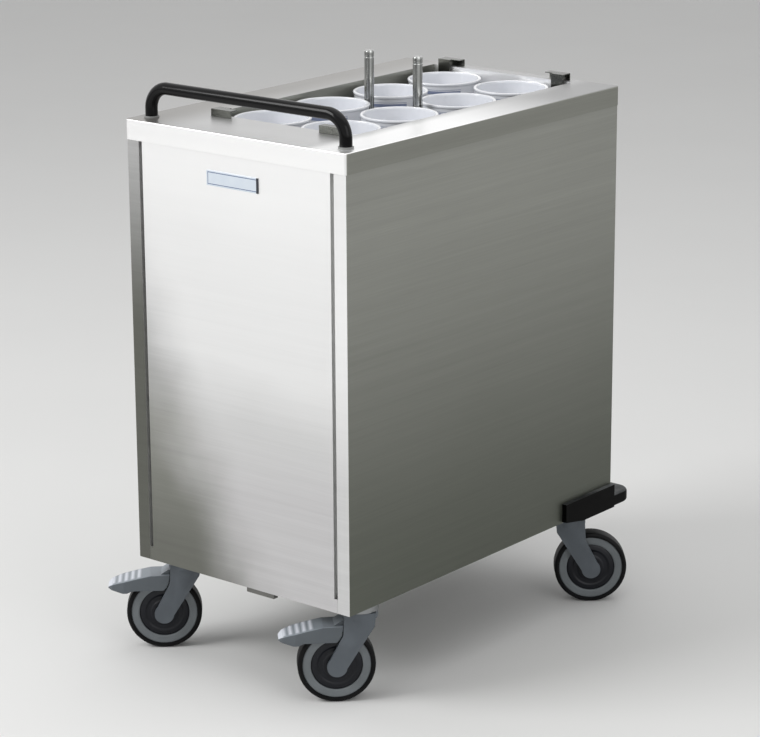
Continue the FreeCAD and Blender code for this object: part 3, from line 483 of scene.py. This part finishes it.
def glaze():
    # Thick white glaze, with a short printed stripe on the outer wall of each bowl
    look = bowlLook
    paint = Paint("bowl_glaze_white", roughness=0.12, coat_weight=0.6, coat_roughness=0.04, ior=1.5)
    cloud = paint.noise(paint.place()[0], look["cloud"], 2)
    height, turn, outside = [paint.node("Attribute", {"attribute_name": name}, output=2)
                             for name in ("height", "turn", "outside")]
    base = paint.mix(cloud, look["body"], look["shade"])
    for low, high in look["lines"]:
        stripe = (height > low) * (height < high) * (turn > look["reach"]) * (outside > 0.5)
        base = paint.mix(stripe * look["printStrength"], base, look["print"])
    paint.set(base_color=base)
    paint.bump(cloud, 0.0002, 0.1)
    return paint.material


bowlGlaze = glaze()

plateLook = {
    "field": tone(214, 222, 230),
    "fieldShade": tone(200, 210, 222),
    "line": tone(70, 92, 132),
    "edge": tone(24, 28, 40),
    "margin": 0.0022,
    "lineWidth": 0.0012,
    "edgeWidth": 0.0034,
    "cloud": 60,
}


def platePaint():
    # A pale field inside a thin frame line, with a dark band along the right edge
    look = plateLook
    paint = Paint("plate_print_bare", roughness=0.35, coat_weight=0.3)
    spot, axes = paint.place()
    low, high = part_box("badge_plate")
    fromEdge = paint.maths("MINIMUM", paint.maths("MINIMUM", axes[0] - low.x, high.x - axes[0]),
                           paint.maths("MINIMUM", axes[2] - low.z, high.z - axes[2]))
    inner = fromEdge - look["margin"]
    line = (inner > 0.0) * (inner < look["lineWidth"])
    edge = axes[0] > high.x - look["edgeWidth"]
    cloud = paint.noise(spot, look["cloud"], 2)
    field = paint.mix(cloud, look["field"], look["fieldShade"])
    paint.set(base_color=paint.mix(edge, paint.mix(line, field, look["line"]), look["edge"]))
    paint.bump(line + cloud * 0.1, 0.0001, 0.4)
    return paint.material


platePrint = platePaint()
print("finishes ready")


mergeWithin = 1e-6  # points closer than this become one; metres
flatWithin = 0.005  # faces that meet flatter than this become one; radians


def quads(rows, columns, first):
    # Each cell joins a point with its neighbours in the next row and in the next column, round the ring
    row = np.arange(rows - 1)[:, None]
    column = np.arange(columns)[None, :]
    nextColumn = (column + 1) % columns
    corners = [row * columns + column, row * columns + nextColumn,
               (row + 1) * columns + nextColumn, (row + 1) * columns + column]
    return first + np.stack(corners, -1).reshape(-1, 4)


def makePiece(name, grids, material, body, sharp=35.0, traits=None):
    # Each grid holds rings of points, one ring per row; the grids become one mesh
    points, faces, count = [], [], 0
    for grid in grids:
        rows, columns = grid.shape[:2]
        faces.append(quads(rows, columns, count))
        points.append(grid.reshape(-1, 3))
        count += rows * columns
    mesh = bpy.data.meshes.new(name)
    mesh.from_pydata(np.concatenate(points), [], np.concatenate(faces).tolist())
    for trait, values in (traits or {}).items():  # one value per point, for the material
        mesh.attributes.new(trait, "FLOAT", "POINT").data.foreach_set("value", np.ravel(values))
    return finishPiece(name, mesh, material, body, sharp)


def finishPiece(name, mesh, material, body, sharp):
    # Doubles merged, normals outwards, smooth up to an angle
    work = bmesh.new()
    work.from_mesh(mesh)
    bmesh.ops.remove_doubles(work, verts=work.verts, dist=mergeWithin)
    bmesh.ops.dissolve_degenerate(work, edges=work.edges, dist=mergeWithin / 10)
    bmesh.ops.recalc_face_normals(work, faces=work.faces)
    work.to_mesh(mesh)
    work.free()
    mesh.polygons.foreach_set("use_smooth", np.ones(len(mesh.polygons), bool))
    mesh.set_sharp_from_angle(angle=float(np.radians(sharp)))
    mesh.materials.clear()
    mesh.materials.append(material)
    piece = bpy.data.objects.new(name, mesh)
    bpy.context.scene.collection.objects.link(piece)
    if body:
        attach(piece, body)
    return piece


def rounded(points, radius, steps=5):
    # Each inner corner becomes an arc: a conic whose middle is weighted by the cosine of half the turn
    corner = np.array(points, float)
    inner = corner[1:-1]
    back, ahead = corner[:-2] - inner, corner[2:] - inner
    backLength = np.linalg.norm(back, axis=1)
    aheadLength = np.linalg.norm(ahead, axis=1)
    cosTurn = -(back * ahead).sum(1) / (backLength * aheadLength)
    halfTurn = np.arccos(np.clip(cosTurn, -1, 1)) / 2
    reach = np.broadcast_to(radius, len(inner)) * np.tan(halfTurn)
    reach = np.minimum(reach, 0.49 * np.minimum(backLength, aheadLength))[:, None]
    start = (inner + back / backLength[:, None] * reach)[:, None]
    end = (inner + ahead / aheadLength[:, None] * reach)[:, None]
    part = np.linspace(0, 1, steps)[None, :, None]
    weight = np.cos(halfTurn)[:, None, None]
    share = (1 - part) ** 2 + 2 * weight * part * (1 - part) + part ** 2
    curve = (1 - part) ** 2 * start + 2 * weight * part * (1 - part) * inner[:, None] + part ** 2 * end
    return np.concatenate([corner[:1], (curve / share).reshape(-1, corner.shape[1]), corner[-1:]])


def turned(profile, centre, axis=(0, 0, 1), steps=64):
    # A profile of distances from the axis and heights along it, carried round the axis in equal steps
    distance, height = np.asarray(profile, float).T
    axis = Vector(axis).normalized()
    across = axis.orthogonal().normalized()
    other = axis.cross(across)
    turn = np.linspace(0, 2 * np.pi, steps, endpoint=False)
    circle = np.outer(np.cos(turn), across) + np.outer(np.sin(turn), other)
    return (np.array(centre) + distance[:, None, None] * circle[None]
            + height[:, None, None] * np.array(axis)[None, None])


def tube(path, side, radius, steps=20):
    # A circle carried along the path; one direction of its plane is given, the other is square to it
    path, side = np.asarray(path, float), np.broadcast_to(side, np.shape(path)).astype(float)
    along = np.gradient(path, axis=0)
    along /= np.linalg.norm(along, axis=1, keepdims=True)
    up = np.cross(along, side)
    up /= np.linalg.norm(up, axis=1, keepdims=True)
    side = np.cross(up, along)
    turn = np.linspace(0, 2 * np.pi, steps, endpoint=False)[None, :, None]
    rings = path[:, None] + radius * (np.cos(turn) * side[:, None] + np.sin(turn) * up[:, None])
    return closedEnds(rings, path[0], path[-1])


def closedEnds(rings, first, last):  # both ends of a tube drawn in to a point
    ends = [np.broadcast_to(point, rings[:1].shape) for point in (first, last)]
    return np.concatenate([ends[0], rings, ends[1]])


softenLook = {"sharp": 30.0, "segments": 2}


def dressed(node, name, material, bevel):
    # A merged copy of a construction piece, with softened edges; it stands for that piece
    mesh = nodes[node].data.copy()
    work = bmesh.new()
    work.from_mesh(mesh)
    bmesh.ops.remove_doubles(work, verts=work.verts, dist=2 * mergeWithin)
    bmesh.ops.dissolve_limit(work, angle_limit=flatWithin, verts=work.verts, edges=work.edges)
    work.to_mesh(mesh)
    work.free()
    for layer in list(mesh.attributes):
        if layer.name == "custom_normal":
            mesh.attributes.remove(layer)
    piece = finishPiece(name, mesh, material, nodes[node]["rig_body"], softenLook["sharp"])
    soften = piece.modifiers.new("soften", "BEVEL")
    soften.width = bevel
    soften.segments = softenLook["segments"]
    soften.limit_method = "ANGLE"
    soften.angle_limit = float(np.radians(softenLook["sharp"]))
    soften.harden_normals = True
    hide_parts(node)


# Every construction piece gets its finish, also where a new piece stands for it
finishes = {
    "top_frame": topSteel, "left_side_panel": sideSteel, "right_side_panel": sideSteel,
    "front_panel": panelSteel, "rear_panel": panelSteel, "well_side_walls": wellSteel,
    "well_end_walls": wellSteel, "base_pan": shadedBaseSteel, "castor_rails": shadedBaseSteel,
    "handle_nuts": smallSteel, "rod_sockets": shadedBaseSteel, "badge_plate": platePrint,
    "base_tab": tabPlastic, "panel_screws": smallSteel, "castor_bolts": smallSteel,
    "platform_tray": wellSteel, "platform_bushes": bushPlastic, "spring_eyes": smallSteel,
    "left_bumper": bumperPlastic, "right_bumper": bumperPlastic, "spring_hangers": clipSteel,
    "push_handle": handleCoat, "handle_collars": collarPlastic, "guide_rods": rodSteel,
    "lower_bowls": bowlGlaze, "tension_springs": springSteel,
}
finishes.update({"top_bowl_%d" % k: bowlGlaze for k in stacks})
for place in sides:
    finishes[place + "_swivel_head"] = smallSteel
    finishes[place + "_fork"] = castorGrey
    finishes[place + "_axle"] = smallSteel
    finishes[place + "_wheel"] = wheelGrey
    finishes[place + "_tyre"] = tyreRubber
    finishes[place + "_hub_covers"] = coverDark
for place in braked:
    finishes[place + "_pedal"] = pedalGrey
for name, material in finishes.items():
    mesh = nodes[name].data
    if not mesh.materials:
        mesh.materials.append(material)
    for index in range(len(mesh.materials)):
        mesh.materials[index] = material
print("construction pieces finished:", len(finishes))


handleLook = {"radius": 0.010, "bend": 0.035, "bendSteps": 22, "ringSteps": 40}


def pushHandle():
    # The path is three straight runs joined by two arcs, in the upright plane through the legs
    low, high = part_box("push_handle")
    radius = handleLook["radius"]
    y, top = (low.y + high.y) / 2, high.z - radius
    left, right = low.x + radius, high.x - radius
    run = [(left, y, low.z), (left, y, top), (right, y, top), (right, y, low.z)]
    path = rounded(run, handleLook["bend"], handleLook["bendSteps"])
    ring = tube(path, (0, 1, 0), radius, handleLook["ringSteps"])
    piece = makePiece("push_handle_tube", [ring], handleCoat, "cart")
    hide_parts("push_handle")


pushHandle()

collarLook = {"edge": 0.0006, "inset": 0.0014, "bore": 0.01005, "steps": 48}


def handleCollars():
    # Low rings with a rounded shoulder round both feet of the handle
    look = collarLook
    low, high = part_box("handle_collars")
    full = (high.y - low.y) / 2
    reach, rise = full - look["inset"], high.z - low.z
    profile = rounded([(look["bore"], 0), (reach, 0), (reach, rise), (look["bore"], rise)],
                      [look["edge"] * 0.3, look["edge"]])
    grids = [turned(profile, (x, (low.y + high.y) / 2, low.z), steps=look["steps"])
             for x in (low.x + full, high.x - full)]
    piece = makePiece("handle_feet_collars", grids, collarPlastic, "cart")
    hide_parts("handle_collars")


handleCollars()
print("handle ready")


rodLook = {"radius": 0.008, "ringFromTop": 0.0105, "ringWidth": 0.0016, "ringDepth": 0.0008,
           "footEdge": 0.0003, "ringEdge": 0.0005, "tip": 0.0022, "steps": 56, "sharp": 50}


def guideRods():
    # A straight profile with a turned ring under a softly domed tip
    look = rodLook
    low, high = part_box("guide_rods")
    radius, height = look["radius"], high.z - low.z
    ring = height - look["ringFromTop"]
    outline = [(0, 0), (radius, 0), (radius, ring - look["ringWidth"]),
               (radius - look["ringDepth"], ring - look["ringWidth"] / 2), (radius, ring),
               (radius, height), (0, height)]
    profile = rounded(outline, [look["footEdge"], *[look["ringEdge"]] * 3, look["tip"]])
    y = (low.y + high.y) / 2
    grids = [turned(profile, (x, y, low.z), steps=look["steps"]) for x in (low.x + radius, high.x - radius)]
    piece = makePiece("guide_rods_polished", grids, rodSteel, "cart", look["sharp"])
    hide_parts("guide_rods")


guideRods()
print("rods ready")


bowlShape = {
    "steps": 96, "lowerSteps": 42,
    "below": 3,  # bowls under the top one of each stack
    "sharp": 60,
    "outerWall": 0.059,  # the outer wall starts at this distance from the axis
    # distance from the axis, height over the foot, corner radius; millimetres
    "outline": [
        (0, 3.0, 0), (31.6, 3.0, 0.8), (32.4, 0.0, 0.8), (35.8, 0.0, 0.8), (36.6, 3.4, 1.6),
        (46.6, 7.6, 10), (53.9, 13.2, 7), (55.4, 17.5, 3), (55.5, 19.9, 0.5), (60.5, 20.4, 0.9),
        (60.8, 30, 30), (61.45, 52.6, 2.5), (62.95, 54.6, 1.4), (62.95, 57.95, 1.5), (58.1, 57.95, 1.6),
        (57.45, 54.5, 4), (57.0, 30, 30), (55.2, 22.5, 8), (48.0, 12.6, 16), (33.0, 8.6, 20), (0, 8.0, 0)],
}


def bowlGrid(centre, foot, steps):  # the outline carried round the bowl's own axis
    outline = np.array(bowlShape["outline"]) / 1000
    profile = rounded(outline[:, :2], outline[1:-1, 2])
    return turned(profile, (centre.x, centre.y, foot), steps=steps)


def printTraits(grids, feet):
    # Height over the foot, how squarely a point faces the print's side, and whether it is on the outer wall
    heights, turns, outsides = [], [], []
    for grid, foot in zip(grids, feet):
        reach = grid[..., :2] - grid[0, 0, :2]
        distance = np.linalg.norm(reach, axis=-1)
        heights.append((grid[..., 2] - foot).ravel())
        turns.append((reach @ bowlLook["facing"] / np.maximum(distance, 1e-6)).ravel())
        outsides.append((distance > bowlShape["outerWall"]).astype(float).ravel())
    return {"height": np.concatenate(heights), "turn": np.concatenate(turns),
            "outside": np.concatenate(outsides)}


def bowlPiece(name, grids, feet, body, node):
    traits = printTraits(grids, feet)
    piece = makePiece(name, grids, bowlGlaze, body, bowlShape["sharp"], traits)
    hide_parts(node)


def stackedBowls():
    # One turned bowl on top of each stack, and more below it that ride on the platform
    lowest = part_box("lower_bowls")[0].z
    under, feet = [], []
    for k in stacks:
        low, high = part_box("top_bowl_%d" % k)
        centre = (low + high) / 2
        grid = bowlGrid(centre, low.z, bowlShape["steps"])
        bowlPiece("bowl_top_%d" % k, [grid], [low.z], "bowl_%d" % k, "top_bowl_%d" % k)
        for level in range(bowlShape["below"]):
            feet.append(lowest + level * (low.z - lowest) / bowlShape["below"])
            under.append(bowlGrid(centre, feet[-1], bowlShape["lowerSteps"]))
    bowlPiece("bowls_below", under, feet, "platform", "lower_bowls")


stackedBowls()
print("bowls ready")


springLook = {"radius": 0.005, "wire": 0.0014, "turns": 26, "turnSteps": 18, "wireSteps": 7,
              "pairGap": 0.013, "hook": 0.006,
              "endTurns": 1.5,  # how fast the coil opens from its hooks
              "sharp": 80}


def tensionSprings():
    # A helix with a straight hook at each end: the angle grows steadily with the height between the hooks
    look = springLook
    low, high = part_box("tension_springs")
    radius, wire = look["radius"], look["wire"] / 2
    share = np.linspace(0, 1, look["turns"] * look["turnSteps"])
    angle = share * look["turns"] * 2 * np.pi
    height = low.z + look["hook"] + (high.z - low.z - 2 * look["hook"]) * share
    reach = (radius - wire) * np.minimum(1, np.minimum(share, 1 - share) * look["turns"] * look["endTurns"])
    grids = []
    for x in (low.x + radius, low.x + radius + look["pairGap"],
              high.x - radius - look["pairGap"], high.x - radius):
        for y in (low.y + radius, high.y - radius):
            coil = np.stack([x + reach * np.cos(angle), y + reach * np.sin(angle), height], 1)
            path = np.concatenate([[[x, y, low.z + wire]], coil, [[x, y, high.z - wire]]])
            grids.append(tube(path, (0.001, 0.002, 1), wire, look["wireSteps"]))
    piece = makePiece("tension_spring_coils", grids, springSteel, None, look["sharp"])
    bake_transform(piece, "cart", "platform", start=(0, 0, high.z), end=(0, 0, low.z))
    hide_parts("tension_springs")


tensionSprings()
print("springs ready")


wheelShape = {
    "steps": 72,
    # distance from the axle and half width; millimetres
    "tyre": [(55.05, 15.9), (58.5, 16.0), (62.5, 13.5), (62.5, 0)],
    "tyreRadius": [0.8, 3.6],
    "ring": [(41.5, 10), (41.5, 13.8), (44, 14.5), (53.5, 14.5), (54.95, 13.6), (54.95, 0)],
    "ringRadius": [0.4, 1.2, 1.2, 0.4],
    "web": [(6.1, 18.4), (14, 18.4), (14, 5), (41.5, 5), (41.5, 10)],
    "webRadius": [0.8, 1, 1],
    "cover": [(14.1, 5.2), (14.1, 15.0), (15.4, 15.9), (21.0, 15.6), (23.0, 13.9), (29.5, 13.5),
              (32.5, 15.0), (38.0, 13.6), (41.1, 12.4), (41.1, 5.2)],
    "coverRadius": [0.5, 1.2, 2, 3, 3, 3, 2, 1],
}


def mirroredProfile(points):
    # The same outline on the far side of the wheel's middle plane, in one run
    half = np.array(points, float)
    other = half[::-1] * (1, -1)
    return np.concatenate([half, other[1:] if half[-1][1] == 0 else other])


def loop(outline):  # back to its first point
    return np.concatenate([outline, outline[:1]])


def castorWheel(place):
    # Tyre, wheel and hub covers are profiles of distance and half width carried round the axle
    joint = next(item for item in frame["joints"] if item["name"] == place + "_roll")
    axis, centre = joint["axis"], joint["pos_m"]
    shape, body = wheelShape, place + "_wheel"
    tyre, ring, web, cover = [rounded(shape[name], shape[name + "Radius"]) / 1000
                              for name in ("tyre", "ring", "web", "cover")]
    web = mirroredProfile(web)
    half = len(web) // 2
    shell = np.concatenate([web[:half], mirroredProfile(ring), web[half:]])
    for name, profiles, material, slotName, node in (
            ("_rubber_tyre", [mirroredProfile(tyre)], tyreRubber, "tyre_rubber", "_tyre"),
            ("_wheel_body", [shell], wheelGrey, "wheel_grey", "_wheel"),
            ("_hub_dishes", [cover, cover * (1, -1)], coverDark, "cover_dark", "_hub_covers")):
        grids = [turned(loop(profile), centre, axis, shape["steps"]) for profile in profiles]
        piece = makePiece(place + name, grids, material, body)
        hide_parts(place + node)


for place in sides:
    castorWheel(place)
print("wheels ready")


pedalShape = {
    # along the pedal from the swivel axis, and height over the floor; millimetres
    "tread": [(28.2, 130.6), (60, 130), (86, 124.5), (110, 118.5), (124, 114), (130, 108.8)],
    "foot": [(28.2, 127.5), (30.3, 115.5), (32.8, 112), (37.7, 104), (90, 104), (99, 100), (107, 100),
             (127, 105.8), (130, 107.4)],
    "treadRadius": 14, "footRadius": 4,
    "half": [(28.2, 24), (104, 24), (124, 19), (129, 14), (130, 12.5)],  # half the width instead of height
    "tongue": [(24, 139.2), (30, 138.5), (42, 130.5), (42, 127.5), (24, 127.5), (24, 129.4), (26.4, 133),
               (24, 136.6)],
    "tongueHalf": 17.5, "eye": 6.5, "bore": 3.55, "eyeSteps": 40,
    "wall": 3.0, "edge": 1.2,
    "solidFrom": 121.0, "solidSlope": 0.6,  # where the tip is solid, and how fast the hollow ends there
    "ridges": 5, "firstRidge": 121.0, "ridgePitch": 10.7, "ridgeHeight": 1.3,
    "ridgeMargin": 3.0, "ridgeFade": 1.5,  # from the side walls, and the slope at the ridges' ends
    "noseFade": 3.0,
    "steps": 190, "edgeSteps": 4, "across": (-0.9, -0.8, -0.7, -0.4, 0, 0.4, 0.7, 0.8, 0.9),
}


def pedalSections():
    # Sections across the pedal, each an upturned U whose height and width follow its side view and plan.
    # Gives the places of the points along and across the pedal, their heights, the tread's and the half width
    look = pedalShape
    tread, foot = [rounded(look[name], look[name + "Radius"]).T for name in ("tread", "foot")]
    even = np.linspace(tread[0, 0], tread[0, -1], look["steps"])
    along = np.unique(np.concatenate([even, foot[0]]))[:, None]
    top, low = np.interp(along, *tread), np.interp(along, *foot)
    half = np.interp(along, *np.array(look["half"], float).T)
    inner = half - look["wall"]
    hollow = np.clip((look["solidFrom"] - along) / look["solidSlope"] + 0.5, 0, 1)
    roof = np.maximum(low + (top - look["wall"] - low) * hollow, low)
    edge = np.minimum(look["edge"], 0.4 * (top - low))
    bend = np.linspace(0, np.pi / 2, look["edgeSteps"])
    corner = half - edge * (1 - np.cos(bend))
    shoulder = top - edge * (1 - np.sin(bend))
    middle = (half - edge) * np.array(look["across"])
    across = np.concatenate([-half, -corner, middle, corner[:, ::-1], half, inner, inner, -inner, -inner], 1)
    height = np.concatenate([low, shoulder, top + 0 * middle, shoulder[:, ::-1], low,
                             low, roof, roof, low], 1)
    return along + 0 * across, across, height, top, half


def pedalHood():
    # The ridges of the tread are a row of raised cosines. Gives the points and how far each is painted bright
    # as a highlight
    look = pedalShape
    along, across, height, top, half = pedalSections()
    count = (look["firstRidge"] - along) / look["ridgePitch"]
    wave = (0.5 + 0.5 * np.cos(2 * np.pi * count)) * (count > -0.5) * (count < look["ridges"] - 0.5)
    inside = np.clip((half - look["ridgeMargin"] - np.abs(across)) / look["ridgeFade"], 0, 1)
    onTop = height >= top - 1e-9
    ridge = wave * inside * onTop
    nose = np.clip((along - look["firstRidge"]) / look["noseFade"], 0, 1) * onTop
    points = np.stack([along, across, height + look["ridgeHeight"] * ridge, np.maximum(ridge, nose)], -1)
    points = closedEnds(points, points[0].mean(0), points[-1].mean(0))
    return points[..., :3], points[..., 3]


def pedalTongue():  # a flat outline with a thickness across the pedal
    outline = np.array(pedalShape["tongue"], float)
    sheet = np.zeros((2, len(outline), 3))
    sheet[..., ::2] = outline
    sheet[..., 1] = [[pedalShape["tongueHalf"]], [-pedalShape["tongueHalf"]]]
    return closedEnds(sheet, sheet[0].mean(0), sheet[1].mean(0))


def brakePedal(place):
    # The hood, the tongue that reaches in between the fork's legs, and the eye on the pivot
    joints = {item["name"]: item for item in frame["joints"]}
    centre = np.array(joints[place + "_swivel"]["pos_m"]) * (1, 1, 0)
    pivot = np.array(joints[place + "_brake"]["pos_m"])
    side = np.array(joints[place + "_brake"]["axis"], float)
    ahead = (pivot - centre) * (1, 1, 0)
    frameAxes = np.stack([ahead / np.linalg.norm(ahead), side, (0, 0, 1)])
    hood, ridge = pedalHood()
    grids = [centre + grid @ frameAxes / 1000 for grid in (hood, pedalTongue())]
    eye, bore, reach = [pedalShape[name] for name in ("eye", "bore", "tongueHalf")]
    ring = np.array([(bore, -reach), (eye, -reach), (eye, reach), (bore, reach)]) / 1000
    grids.append(turned(loop(ring), pivot, side, pedalShape["eyeSteps"]))
    plain = np.zeros(sum(grid[..., 0].size for grid in grids[1:]))
    # the ridge trait marks where the tread and tip are painted bright as a highlight
    piece = makePiece(place + "_pedal_moulded", grids, pedalGrey, place + "_pedal",
                      traits={"ridge": np.concatenate([ridge.ravel(), plain])})
    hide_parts(place + "_pedal")


for place in braked:
    brakePedal(place)
print("pedals ready")


bevels = {"fork": 0.0016, "race": 0.0006, "axle": 0.0006, "bumper": 0.0015, "clip": 0.0004}
for place in sides:
    dressed(place + "_fork", place + "_fork_moulded", castorGrey, bevels["fork"])
    dressed(place + "_swivel_head", place + "_race", smallSteel, bevels["race"])
    dressed(place + "_axle", place + "_axle_pin", smallSteel, bevels["axle"])
for hand in ("left", "right"):
    dressed(hand + "_bumper", hand + "_bumper_moulded", bumperPlastic, bevels["bumper"])
dressed("spring_hangers", "spring_clips", clipSteel, bevels["clip"])
print("softened pieces ready")


floorLook = {"size": 30.0, "color": tone(226, 226, 225), "pale": tone(230, 230, 229), "cloud": 2}


def floorPaint():
    paint = Paint("floor_pale", roughness=0.7)
    cloud = paint.noise(paint.place()[0], floorLook["cloud"], 3)
    paint.set(base_color=paint.mix(cloud, floorLook["color"], floorLook["pale"]))
    return paint.material


half = floorLook["size"] / 2
corners = [(-half, -half, 0), (half, -half, 0), (half, half, 0), (-half, half, 0)]
floorMesh = bpy.data.meshes.new("floor")
floorMesh.from_pydata(corners, [], [(0, 1, 2, 3)])
floorMesh.materials.append(floorPaint())
floor = bpy.data.objects.new("floor", floorMesh)
bpy.context.scene.collection.objects.link(floor)

worldLook = {"seen": 1.0, "lighting": 0.45}  # strength in view and in mirrors, and as soft fill light
world = bpy.data.worlds.new("studio")
bpy.context.scene.world = world
world.use_nodes = True
sky = Graph(world.node_tree)
background = sky.tree.nodes["Background"]
sky.feed(background.inputs["Color"], (1, 1, 1, 1))
rays = [sky.node("LightPath", output=kind + " Ray") for kind in ("Is Camera", "Is Glossy", "Is Transmission")]
seen = sky.maths("MAXIMUM", sky.maths("MAXIMUM", rays[0], rays[1]), rays[2])
strength = worldLook["lighting"] + seen * (worldLook["seen"] - worldLook["lighting"])
sky.feed(background.inputs["Strength"], strength)

lamps = {
    "key": {"at": (-2.2, -3.6, 3.4), "size": 2.4, "power": 145},
    "top": {"at": (0.3, 0.4, 4.2), "size": 4.5, "power": 50},
    "right": {"at": (4.0, -1.0, 2.2), "size": 2.5, "power": 25},
}
aim = Vector((0, 0, 0.45))
for name, lamp in lamps.items():
    light = bpy.data.lights.new(name, "AREA")
    light.energy = lamp["power"]
    light.size = lamp["size"]
    holder = bpy.data.objects.new(name, light)
    holder.location = lamp["at"]
    holder.rotation_euler = (aim - holder.location).to_track_quat("-Z", "Y").to_euler()
    bpy.context.scene.collection.objects.link(holder)

cameraLook = {"at": (2.8646, -3.5055, 1.7456), "heading": 39.27, "tilt": 16.04, "roll": -0.31,
              "lens": 133.29, "sensor": 36.0, "clipEnd": 100}
camera = bpy.data.objects.new("camera", bpy.data.cameras.new("camera"))
camera.data.lens = cameraLook["lens"]
camera.data.sensor_width = cameraLook["sensor"]
camera.data.clip_end = cameraLook["clipEnd"]
turn = (Matrix.Rotation(np.radians(cameraLook["heading"]), 4, "Z")
        @ Matrix.Rotation(np.radians(90 - cameraLook["tilt"]), 4, "X")
        @ Matrix.Rotation(np.radians(cameraLook["roll"]), 4, "Z"))
camera.matrix_world = Matrix.Translation(cameraLook["at"]) @ turn
bpy.context.scene.collection.objects.link(camera)
bpy.context.scene.camera = camera
bpy.context.scene.view_settings.view_transform = "Standard"
print("floor, light and camera ready")
